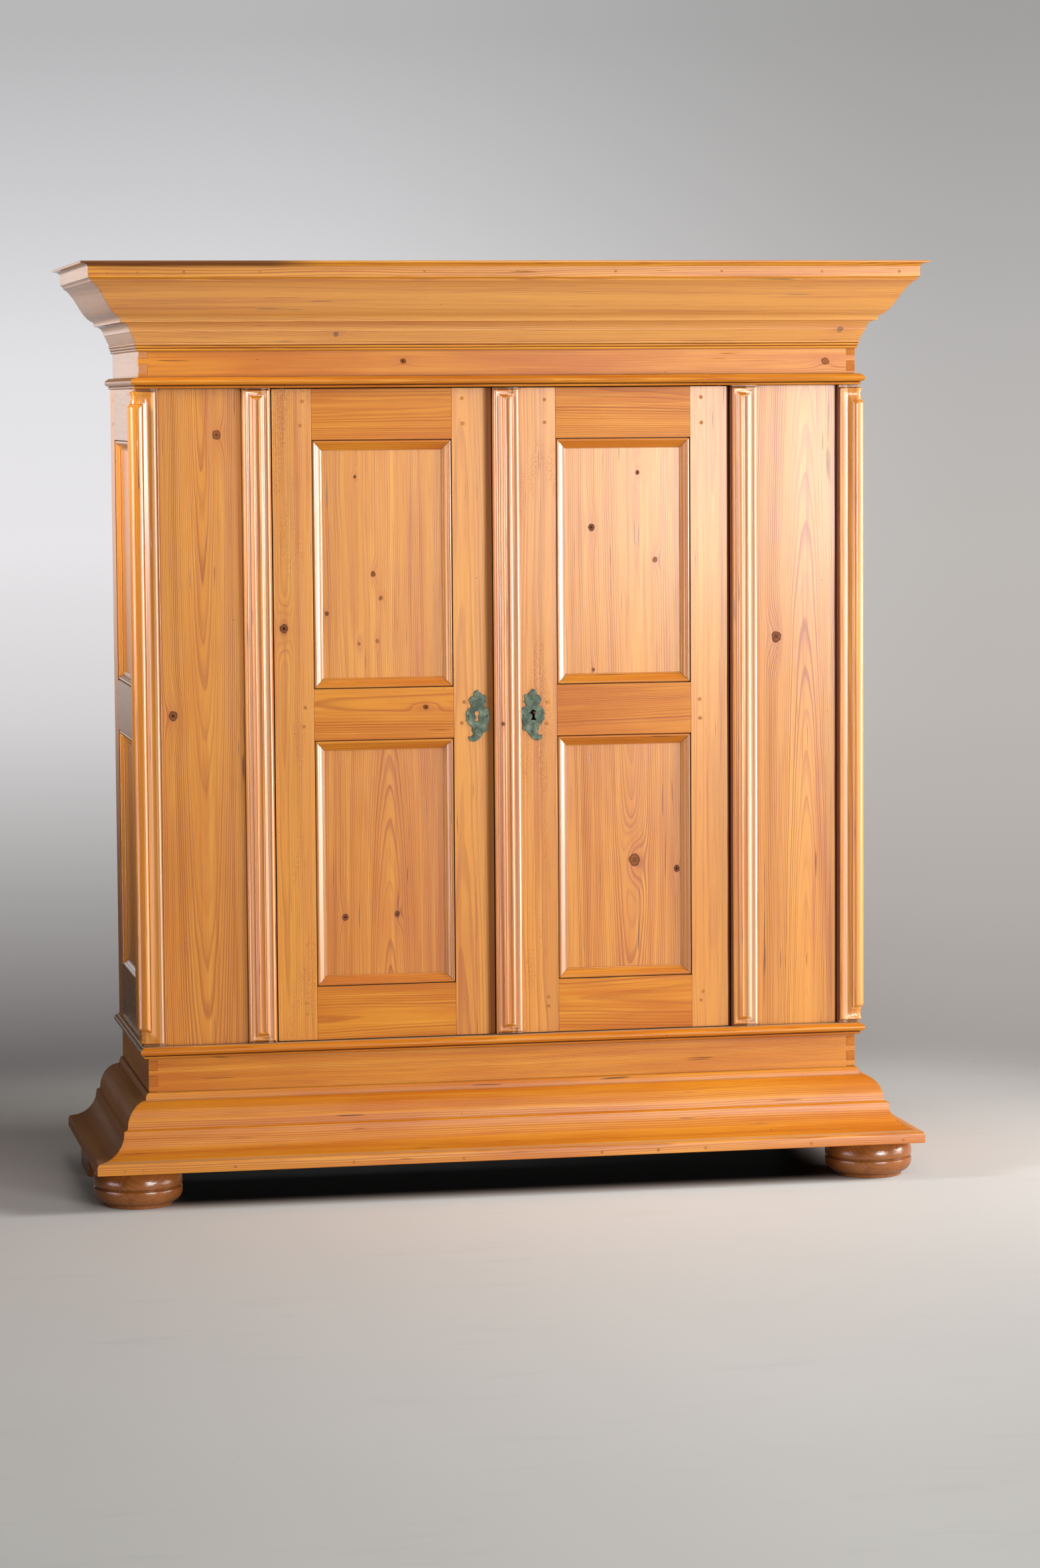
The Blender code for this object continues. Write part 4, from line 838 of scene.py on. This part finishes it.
# %% [markdown]
# Beside the raised strips lies painted shadow, the shade that each strip casts to its left, and a
# faint darkening runs across the right pier towards its left edge; the cornice lip has a real
# dark stain. The proudest beads are pale, partly with wear and partly with painted glints. An
# entry of the first table says where its band starts, where it is darkest and how strongly; one
# of the second is a pale band from edge to edge, in metres of the whole cupboard.

# %% Painted shadows and glints, a stain and worn beads
SHADOWED_AND_STAINED = {
    "front_pier_left": ((-0.552, -0.534, 0.45),),
    "front_pier_right": ((0.7, 0.7025, 0.97), (0.64, 0.545, 0.1)),
    "left_door_lock_stile": ((-0.044, -0.031, 0.78),),
    "right_door_hinge_stile": ((0.47, 0.4725, 0.97),),
    "door_lisene_right": ((0.4835, 0.481, 0.95),),
    "corner_lisene_right": ((0.7115, 0.709, 0.95),),
    "cornice_front": ((1.887, 1.893, 0.8, -0.36, -0.5),),
}
# pale bands on the beads: partly worn wax, partly painted glints
PALE_WEAR_AND_GLINTS = {
    "corner_lisene_left": ((-0.7193, -0.7075, 0.45),),
    "door_lisene_left": ((-0.5278, -0.5226, 0.3), (-0.4955, -0.4855, 0.6)),
    "astragal": ((-0.0154, -0.0101, 0.3), (0.0109, 0.0181, 0.4), (0.0214, 0.0326, 0.55)),
    "door_lisene_right": ((0.5091, 0.532, 0.65),),
    "corner_lisene_right": ((0.7173, 0.727, 0.6),),
    "cornice_front": ((1.735, 1.865, 0.16),),
}
RAW_SHARE = 0.2


def board_finish(name, axes, inward, low, high, knots=(), raw=True, **given):
    """The pine of one board whose box is known, with its unwaxed inner side."""
    middle = (low + high) / 2
    start, centre = middle[AXES[axes[0]]], middle[AXES[axes[1]]]
    figure = drawn_figure(name, inward, **given)
    figure["shadowed_and_stained"] = [
        (clean - centre, darkest_edge - centre, strength, *[place - start for place in reach])
        for clean, darkest_edge, strength, *reach in SHADOWED_AND_STAINED.get(name, ())
    ]
    figure["worn_and_glinting"] = [
        (first - centre, last - centre, strength) for first, last, strength in PALE_WEAR_AND_GLINTS.get(name, ())
    ]
    own = [
        (up - start, over - centre, size, dark)
        if axes[0] == "Z"
        else (over - start, up - centre, size, dark)
        for up, over, size, dark in knots
    ]
    thickness = high[AXES[axes[2]]] - low[AXES[axes[2]]]
    return pine(name, axes, middle, figure, own, thickness * RAW_SHARE if raw else None)


# Counts boards with painted shadow bands (one is a real stain) and with pale beads, partly
# painted glints.
print("boards with old smoke:", len(SHADOWED_AND_STAINED), "and with pale beads:", len(PALE_WEAR_AND_GLINTS))

# %% [markdown]
# Most boards need only their fair copy and their grain. Each line gives a board's axes (along
# the grain, across and through), which way the inside lies, how far its edges are eased, and
# its style. Stiles and piers stand upright, rails and mouldings lie.

# %% Boards
JOINTED_EDGE, PIER_EDGE, CORNICE_EDGE, BASE_EDGE = 0.0003, 0.0006, 0.0008, 0.0011
SIDES = ("left", "right")
WHOLE_BOARDS = (
    ("plinth_front", "XZY", 1, JOINTED_EDGE, LYING_FRONT),
    ("frieze_front", "XZY", 1, JOINTED_EDGE, LYING_FRONT),
    ("front_pier_left", "ZXY", 1, PIER_EDGE, LEFT_PIER),
    ("front_pier_right", "ZXY", 1, PIER_EDGE, RIGHT_PIER),
    ("left_door_hinge_stile", "ZXY", 1, PLAIN_EDGE, CRAZED),
    ("left_door_lock_stile", "ZXY", 1, PLAIN_EDGE, {}),
    ("right_door_hinge_stile", "ZXY", 1, PLAIN_EDGE, {}),
    ("right_door_lock_stile", "ZXY", 1, PLAIN_EDGE, CRAZED),
    *[
        (f"{word}_door_{level}_rail", "XZY", 1, PLAIN_EDGE, RAIL)
        for word in SIDES
        for level in ("bottom", "middle", "top")
    ],
    ("plinth_left", "YZX", 1, JOINTED_EDGE, BASE_SIDE),
    ("plinth_right", "YZX", -1, JOINTED_EDGE, LYING_FRONT),
    ("frieze_left", "YZX", 1, JOINTED_EDGE, LYING_SIDE),
    ("frieze_right", "YZX", -1, JOINTED_EDGE, LYING_FRONT),
)
MOULDED_BOARDS = (
    ("base_moulding_front", "XZY", 1, BASE_EDGE, BASE_FRONT),
    ("base_moulding_left", "YZX", 1, BASE_EDGE, BASE_SIDE),
    ("base_moulding_right", "YZX", -1, BASE_EDGE, LYING_FRONT),
    ("cornice_front", "XZY", 1, CORNICE_EDGE, CORNICE),
    ("cornice_left", "YZX", 1, CORNICE_EDGE, LYING_SIDE),
    ("cornice_right", "YZX", -1, CORNICE_EDGE, LYING_FRONT),
    *[
        (f"{place}_lisene_{word}", "ZXY", 1, PLAIN_EDGE, RUBBED_STRIP)
        for place in ("corner", "door")
        for word in SIDES
    ],
    ("astragal", "ZXY", 1, PLAIN_EDGE, MEETING_STRIP),
)

for boards, raw in ((WHOLE_BOARDS, True), (MOULDED_BOARDS, False)):
    for name, axes, inward, width, given in boards:
        knots = FRONT_KNOTS.get(name, ())
        finish = board_finish(name, axes, inward, *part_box(name), knots, raw, **given)
        eased_piece(name, width, "waxed", finish)
print("boards:", len(WHOLE_BOARDS) + len(MOULDED_BOARDS))

# %% [markdown]
# Each panel is a thin board in the grooves of its frame, and the moulding round it is planted
# on afterwards: four sticks, mitred at the corners, the upright ones with upright grain and the
# lying ones with lying grain. The packed solid holds board and moulding in one, so it is sawn
# just behind the moulding for the board, and along the mitres for each stick.

# %% Sawing a panel
TONGUE = 0.0095
PANEL_BACK_TO_FACE = 0.0114
SAW_KERF = 0.0001
STICK_EDGE = 0.0007


def panel_pieces(node, across, inward, finishes_for):
    """Saws a panel's solid into its board and the four sticks of its moulding."""
    low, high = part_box(node)
    through = 1 - across
    back = high[through] if inward > 0 else low[through]
    face = back - inward * PANEL_BACK_TO_FACE

    def spot(run, rise, depth=0.0):
        vector = Vector((0.0, 0.0, rise))
        vector[across] = run
        vector[through] = depth
        return vector

    start, end = low[across] + TONGUE, high[across] - TONGUE
    bottom, top = low.z + TONGUE, high.z - TONGUE
    into = spot(0, 0, inward)
    board = sawn_copy(node, [(spot(start, bottom, face), -into)], SAW_KERF)
    settle(board, node + "_board", finishes_for["board"], node)
    sticks = {
        "left": (((start, bottom), (1, -1)), ((start, top), (1, 1))),
        "right": (((end, bottom), (-1, -1)), ((end, top), (-1, 1))),
        "bottom": (((start, bottom), (-1, 1)), ((end, bottom), (1, 1))),
        "top": (((start, top), (-1, -1)), ((end, top), (1, -1))),
    }
    for side, mitres in sticks.items():
        cuts = [(spot(*corner), spot(*waste).normalized()) for corner, waste in mitres]
        stick = sawn_copy(node, [*cuts, (spot(start, bottom, face), into)], SAW_KERF)
        ease(stick, STICK_EDGE)
        finish = finishes_for["upright" if side in SIDES else "lying"]
        settle(stick, f"{node}_stick_{side}", finish, node)


print("from a panel's back to its moulding:", round(PANEL_BACK_TO_FACE * 1000, 1), "mm")

# %% [markdown]
# The figures of the door panels are chosen one by one, because they are the showpieces: wide
# flames below, straighter grain above. The side panels take the style of their side.

# %% Panels and their mouldings
PANEL_FIGURES = {
    "left_door_lower_panel": {
        **FLAMED, "heart": 0.01, "depth": 0.03, "lean": 0.055, "honey": 0.9,
    },
    "right_door_lower_panel": {
        **FLAMED, "heart": 0.015, "depth": 0.03, "lean": -0.05, "honey": 0.7,
    },
    "left_door_upper_panel": {"heart": -0.06, "depth": 0.05, "flames": 0.006},
    "right_door_upper_panel": {"heart": 0.03, "depth": 0.045, "honey": 0.3, "flames": 0.006},
}
panels = [node for node in frame["nodes"] if "panel" in node and node != "back_panel"]
for node in sorted(panels):
    on_side = node.startswith("side")
    inward = -1 if on_side and node.endswith("right") else 1
    upright, lying = ("ZYX", "YZX") if on_side else ("ZXY", "XZY")
    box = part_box(node)
    figure = PANEL_FIGURES.get(node, UPRIGHT_SIDE if inward > 0 else RIGHT_SIDE)
    knots = FRONT_KNOTS.get(node, ())
    rest = LYING_SIDE if on_side and inward > 0 else LYING_FRONT
    stick = RUBBED_STRIP if on_side else DOOR_STICK
    finishes = {
        "board": board_finish(node, upright, inward, *box, knots, True, **figure),
        "upright": board_finish(node + "_upright", upright, inward, *box, (), False, **stick),
        "lying": board_finish(node + "_lying", lying, inward, *box, (), False, **rest),
    }
    panel_pieces(node, 1 if on_side else 0, inward, finishes)
print("panels:", len(panels))

# %% [markdown]
# Each side of the body is a frame of two stiles and three rails. Its packed solid is whole, so
# it is sawn along its joints. The two waist mouldings run round three sides, and are sawn at
# their mitres, because the grain of a mitred moulding turns the corner with it.

# %% Side frames and waist mouldings
SIDE_STILE = 0.075
WINDOW_MIDDLES = (0.68, 1.29)
CASE_HALF_WIDTH, CASE_FRONT = 0.742, -0.19365
HALF_SQUARE = math.sqrt(0.5)


def sawn_board(node, part, cuts, axes, inward, **given):
    """One board sawn out of a node's copy, with its own grain."""
    bm = sawn_copy(node, cuts, SAW_KERF)
    low, high = box_of(bm)
    ease(bm, PLAIN_EDGE)
    name = f"{node}_{part}"
    finish = board_finish(name, axes, inward, low, high, (), node.startswith("side"), **given)
    settle(bm, name, finish, node)


for side, word in ((-1, "left"), (1, "right")):
    node = "side_frame_" + word
    low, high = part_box(node)
    front, rear = low.y + SIDE_STILE, high.y - SIDE_STILE
    stile, rail = (UPRIGHT_SIDE, LYING_SIDE) if side < 0 else (RIGHT_SIDE, RIGHT_SIDE)
    sawn_board(node, "front_stile", [((0, front, 0), (0, 1, 0))], "ZYX", -side, **stile)
    sawn_board(node, "rear_stile", [((0, rear, 0), (0, -1, 0))], "ZYX", -side, **stile)
    between = [((0, front, 0), (0, -1, 0)), ((0, rear, 0), (0, 1, 0))]
    first, second = WINDOW_MIDDLES
    below, above = [((0, 0, first), (0, 0, 1))], [((0, 0, second), (0, 0, -1))]
    middle = [((0, 0, first), (0, 0, -1)), ((0, 0, second), (0, 0, 1))]
    for level, cuts in (("bottom_rail", below), ("middle_rail", middle), ("top_rail", above)):
        sawn_board(node, level, between + cuts, "YZX", -side, **rail)
for node in ("waist_moulding_lower", "waist_moulding_upper"):
    mitres = [
        ((side * CASE_HALF_WIDTH, CASE_FRONT, 0), (side * HALF_SQUARE, HALF_SQUARE, 0))
        for side in (-1, 1)
    ]
    sawn_board(node, "front", mitres, "XZY", 1, **LYING_FRONT)
    for side, word in ((-1, "left"), (1, "right")):
        waste = (-side * HALF_SQUARE, -HALF_SQUARE, 0)
        cuts = [((side * CASE_HALF_WIDTH, CASE_FRONT, 0), waste), ((0, 0, 0), (-side, 0, 0))]
        given = LYING_SIDE if side < 0 else LYING_FRONT
        sawn_board(node, word, cuts, "YZX", -side, **given)
print("stiles of the sides:", round(front - low.y, 3), "m wide")

# %% [markdown]
# Behind the waxed front the cupboard is plain dry pine: the shelf, the floor and ceiling boards,
# and a back of upright boards that were never finished. The packed back is one sheet, so it is
# sawn into boards of unequal width with a narrow open joint between each two.

# %% Inside and back
BACK_JOINTS = (-0.47, -0.215, 0.06, 0.29, 0.505)
BACK_GAP = 0.0003
DRY_EDGE = 0.001
RAW_ALL_THROUGH = -1.0


def dry_board(node, part, cuts, axes):
    """One unwaxed board, whole or sawn out of a node's copy."""
    bm = sawn_copy(node, cuts, BACK_GAP)
    low, high = box_of(bm)
    ease(bm, DRY_EDGE)
    name = f"{node}_{part}"
    figure = drawn_figure(name, 1, pitch=0.0042, contrast=0.8, gloss=0.0)
    finish = pine(name, axes, (low + high) / 2, figure, raw_from=RAW_ALL_THROUGH)
    settle(bm, name, finish, node)


for node in ("shelf", "floor_board", "ceiling_board"):
    dry_board(node, "dry", [], "XYZ")
edges = [None, *BACK_JOINTS, None]
for index, (left, right) in enumerate(zip(edges, edges[1:])):
    cuts = []
    if left is not None:
        cuts.append(((left, 0, 0), (-1, 0, 0)))
    if right is not None:
        cuts.append(((right, 0, 0), (1, 0, 0)))
    dry_board("back_panel", f"board_{index + 1}", cuts, "ZXY")
print("back boards:", len(edges) - 1)

# %% [markdown]
# The feet are darker than the case, with a hard old shine, rubbed lighter where shoes met it.
# Their late wood shows only faintly, and occlusion darkens the groove, as dirt and painted shade.

# %% Finish of the feet
FOOT_EARLY = (0.3, 0.098, 0.022)
FOOT_LATE = (0.14, 0.04, 0.008)
FOOT_RUBBED = (0.33, 0.15, 0.06)
FOOT_DIRT_AND_SHADE = (0.02, 0.008, 0.004)
FOOT_GROOVE = 0.006
PITS_PER_METRE = 420.0


def turned_pine(name, middle, axes):
    finish = Finish(bpy.data.materials.new(name))
    space = board_space(finish, axes, middle)
    figure = drawn_figure(name, 1, pitch=0.0048, depth=0.03)
    phase = (rings(finish, space, figure, []) / figure["pitch"]).math("FRACT")
    late = finish.step(phase, 0.2, 0.85) * (1 - finish.step(phase, 0.88, 1.0))
    rubs = drawn_out(finish, space, (14.0, 22.0, 22.0), 0.0, 4.0, 0.6)
    only_here = {"samples": 5, "only_local": True}
    nook = finish.add("AmbientOcclusion", only_here, {"Distance": FOOT_GROOVE}, 1)
    tone = finish.layers(
        FOOT_EARLY,
        (late * 0.3, FOOT_LATE),
        (finish.step(rubs, 0.56, 0.8, 0.35), FOOT_RUBBED),
        ((1 - finish.step(rubs, 0.25, 0.46)) * 0.7, FOOT_LATE),
        # occlusion in the groove: dirt and painted shade
        ((1 - finish.step(nook, 0.35, 0.85)) * 0.9, FOOT_DIRT_AND_SHADE),
    )
    pits = finish.noise(finish.vector(*space), PITS_PER_METRE, 2.0)
    bump = finish.bump(pits + rubs - late * 0.4, RELIEF_DEPTH, 0.4)
    values = {"Base Color": tone, "Roughness": rubs * 0.16 + 0.12, "Normal": bump, "IOR": 1.55}
    return finish.end(finish.add("BsdfPrincipled", {}, values))


print("pits of the feet:", PITS_PER_METRE, "to the metre")

# %% [markdown]
# The bun feet are turned on a lathe, so the mesh is turned too: a profile, in shares of the
# radius and the height, is spun round its axis. The rear feet are plain blocks.

# %% Feet
BUN_PROFILE = (
    (0.0, 1.0), (0.7, 1.0), (0.8, 0.985), (0.9, 0.94), (0.96, 0.85), (0.99, 0.73),
    (0.995, 0.62), (0.988, 0.555), (0.962, 0.535), (0.955, 0.515), (0.966, 0.495),
    (0.99, 0.475), (1.0, 0.4), (0.985, 0.29), (0.93, 0.185), (0.85, 0.115), (0.79, 0.095),
    (0.775, 0.085), (0.77, 0.07), (0.77, 0.012), (0.755, 0.0), (0.0, 0.0),
)
TURNS = 96

for word in SIDES:
    node = "bun_foot_front_" + word
    low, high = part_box(node)
    middle = (low + high) / 2
    radius, height = (high.x - low.x) / 2, high.z - low.z
    bm = bmesh.new()
    line = [bm.verts.new((out * radius, 0, up * height)) for out, up in BUN_PROFILE]
    edges = [bm.edges.new(pair) for pair in zip(line, line[1:])]
    bmesh.ops.spin(
        bm, geom=line + edges, axis=(0, 0, 1), cent=(0, 0, 0), angle=math.tau, steps=TURNS,
        use_merge=True,
    )
    bmesh.ops.remove_doubles(bm, verts=bm.verts, dist=TOUCHING)
    bmesh.ops.recalc_face_normals(bm, faces=bm.faces)
    bmesh.ops.translate(bm, vec=(middle.x, middle.y, low.z), verts=bm.verts)
    settle(bm, node + "_turned", turned_pine(node, middle, "XYZ"), node)
    node = "block_foot_rear_" + word
    bm = fair_copy(node)
    low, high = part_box(node)
    finish = turned_pine(node, (low + high) / 2, "YXZ")
    settle(bm, node + "_old", finish, node)
print("bun feet:", round(radius * 2000), "mm wide and", round(height * 1000), "mm high")

# %% [markdown]
# The key plates are thin sheet metal with a green-grey patina. The lock, the keeper and the
# bolts inside are forged iron: dark, with a little rust. Both come out of one recipe, in which
# two noises mix three tones.

# %% Metal
PATINA_TONES = ((0.03, 0.042, 0.028), (0.08, 0.11, 0.072), (0.3, 0.27, 0.19))
IRON_TONES = ((0.04, 0.037, 0.035), (0.16, 0.062, 0.028), (0.2, 0.18, 0.16))
METAL_SHARE = 0.55
METAL_RELIEF = 0.0003
PLATE_EDGE = 0.00025


def metal(name, tones, scale, shine):
    """Old metal, from its dark tone over its middle one to its worn one."""
    finish = Finish(bpy.data.materials.new(name))
    place = finish.add("TexCoord", output=3)
    clouds = finish.noise(place, scale, 4.0, 0.6)
    specks = finish.noise(place, scale * 7.0, 2.0)
    dark, between, worn_bright = tones
    tone = finish.layers(
        dark,
        (finish.step(clouds, 0.38, 0.62), between),
        (finish.step(clouds * 0.6 + specks * 0.4, 0.56, 0.7, 0.8), worn_bright),
    )
    values = {
        "Base Color": tone,
        "Metallic": METAL_SHARE,
        "Roughness": specks * 0.25 + shine,
        "Normal": finish.bump(clouds + specks * 0.5, METAL_RELIEF, 0.4),
    }
    return finish.end(finish.add("BsdfPrincipled", {}, values))


PATINA = metal("patinated_metal", PATINA_TONES, 70.0, 0.3)
IRON = metal("forged_iron", IRON_TONES, 45.0, 0.38)
IRON_NODES = (
    "lock_case", "lock_bolt", "lock_keeper", "left_door_bolt", "bolt_staple",
    *[f"{word}_door_pivot_{level}" for word in SIDES for level in ("upper", "lower")],
)
for node in IRON_NODES:
    eased_piece(node, PLAIN_EDGE, "forged", IRON)
for word in SIDES:
    eased_piece("escutcheon_" + word, PLATE_EDGE, "patinated", PATINA)
print("metal pieces:", len(IRON_NODES) + len(SIDES))

# %% [markdown]
# Four domed nails hold each key plate. A flattened ball, half sunk, is enough for a head of
# four millimetres. The plates are mirrored, and so are the places of their nails.

# %% Nails of the key plates
NAIL_RADIUS = 0.0021
NAIL_DOME = 0.62
NAIL_PLACES = ((-0.0014, 0.0275), (-0.02, -0.0053), (0.0182, -0.005), (-0.0025, -0.0392))
KEYHOLES = {"left": (-0.0568, -1), "right": (0.0607, 1)}
KEYHOLE_HEIGHT = 0.9826

for word, (middle_x, side) in KEYHOLES.items():
    plate_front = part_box("escutcheon_" + word)[0].y
    bm = bmesh.new()
    for across, up in NAIL_PLACES:
        place = Vector((middle_x + side * across, plate_front, KEYHOLE_HEIGHT + up))
        flat = Matrix.Translation(place) @ Matrix.Diagonal((1.0, NAIL_DOME, 1.0, 1.0))
        bmesh.ops.create_uvsphere(
            bm, u_segments=20, v_segments=12, radius=NAIL_RADIUS, matrix=flat
        )
    settle(bm, f"key_plate_nails_{word}", PATINA, body=f"{word}_door")
print("nails:", len(KEYHOLES) * len(NAIL_PLACES))

# %% [markdown]
# The frames are held by pegs through their tenons, two to a joint, and the mouldings by wooden
# plugs over their nails. Each is the end of a small stick, cut off a fraction of a millimetre
# proud and a little out of round, and its end grain took the wax darker.

# %% Finish of the pegs
PEG_TONE = (0.45, 0.16, 0.024)
PEG_PORES = (0.24, 0.078, 0.014)
PEG_PALE = (0.6, 0.24, 0.03)
PORES_PER_METRE = 900.0

finish = Finish(bpy.data.materials.new("peg_ends"))
place = finish.add("TexCoord", output=3)
pores = finish.noise(place, PORES_PER_METRE, 2.0)
whole = finish.noise(place, 30.0)
tone = finish.layers(
    PEG_TONE, (pores * 0.7, PEG_PORES), (finish.step(whole, 0.4, 0.6, 0.5), PEG_PALE)
)
bump = finish.bump(pores, 0.0002, 0.5)
values = {"Base Color": tone, "Roughness": whole * 0.2 + 0.4, "Normal": bump, "IOR": 1.35}
PEG_WOOD = finish.end(finish.add("BsdfPrincipled", {}, values))
print("pores of the pegs:", PORES_PER_METRE, "to the metre")

# %% [markdown]
# A peg is whittled: eleven flats, a slight taper and an oval end say so. The heads on one door
# are one piece, a little out of line, as a joiner's eye put them.

# %% Pegs
PEG_RADIUS = 0.004
PEG_PROUD, PEG_SUNK = 0.0004, 0.003
PEG_FLATS, PEG_TAPER, PEG_EDGE = 11, 0.93, 0.00025
OVAL, OUT_OF_LINE = (0.9, 1.1), 0.004
STILE_FRONT = -0.18765
PEG_LEVELS = (0.3735, 0.395, 0.9625, 1.0055, 1.5765, 1.624)
STILE_PEGS = {"left_door": (-0.4125, -0.086), "right_door": (0.414, 0.09)}
SIDE_FACE = 0.748
SIDE_PEGS = (-0.108, 0.263)


def pegs(name, body, heads, radius):
    """Peg heads: each has the middle of its head and the way that it faces."""
    draw = random.Random(name)
    bm = bmesh.new()
    for place, outward in heads:
        outward = Vector(outward)
        turn = Vector((0, 0, 1)).rotation_difference(outward).to_matrix().to_4x4()
        spin = Matrix.Rotation(draw.uniform(0, math.tau), 4, "Z")
        squeeze = Matrix.Diagonal((draw.uniform(*OVAL), draw.uniform(*OVAL), 1.0, 1.0))
        middle = Vector(place) + outward * (PEG_PROUD - PEG_SUNK) / 2
        made = bmesh.ops.create_cone(
            bm, cap_ends=True, segments=PEG_FLATS, radius1=radius, radius2=radius * PEG_TAPER,
            depth=PEG_PROUD + PEG_SUNK, matrix=Matrix.Translation(middle) @ turn @ spin @ squeeze,
        )
        edges = {edge for vertex in made["verts"] for edge in vertex.link_edges}
        caps = [edge for edge in edges if edge.calc_face_angle(0) > SHARP]
        bmesh.ops.bevel(
            bm, geom=caps, offset=PEG_EDGE, segments=1, profile=0.5, affect="EDGES", material=-1
        )
    settle(bm, name, PEG_WOOD, body=body)


def about(draw, value):
    return value + draw.uniform(-OUT_OF_LINE, OUT_OF_LINE)


for body, columns in STILE_PEGS.items():
    draw = random.Random(body)
    heads = [
        ((about(draw, x), STILE_FRONT, about(draw, z)), (0, -1, 0))
        for x in columns
        for z in PEG_LEVELS
    ]
    pegs(body + "_pegs", body, heads, PEG_RADIUS)
draw = random.Random("sides")
heads = [
    ((side * SIDE_FACE, about(draw, y), about(draw, z)), (side, 0, 0))
    for side in (-1, 1)
    for y in SIDE_PEGS
    for z in PEG_LEVELS
]
pegs("side_pegs", "carcass", heads, PEG_RADIUS)
print("pegs on the sides:", len(heads))

# %% [markdown]
# The plugs sit where the photograph has them, in the fascia of the cornice and the fillet of
# the base moulding. They only hide a nail, so they are smaller than the pegs.

# %% Plugs
PLUG_RADIUS = 0.0034
FASCIA_Y = -0.3019
FILLET_Y = -0.3126
FASCIA_PLUGS = (
    (-0.813, 1.876), (-0.753, 1.876), (-0.661, 1.878), (-0.509, 1.8795), (-0.345, 1.8805),
    (-0.178, 1.88), (0.012, 1.8795), (0.213, 1.879), (0.433, 1.879), (0.643, 1.8785),
    (0.806, 1.878),
)
FILLET_PLUGS = (
    (-0.804, 0.087), (-0.767, 0.0872), (-0.582, 0.0868), (-0.34, 0.0865), (-0.114, 0.085),
    (0.174, 0.086), (0.292, 0.0855), (0.392, 0.0862), (0.617, 0.0865), (0.814, 0.086),
)
heads = [
    ((x, depth, z), (0, -1, 0))
    for depth, plugs in ((FASCIA_Y, FASCIA_PLUGS), (FILLET_Y, FILLET_PLUGS))
    for x, z in plugs
]
pegs("moulding_plugs", "carcass", heads, PLUG_RADIUS)
print("plugs:", len(heads))

# %% [markdown]
# Nothing above may change how large the cupboard is.
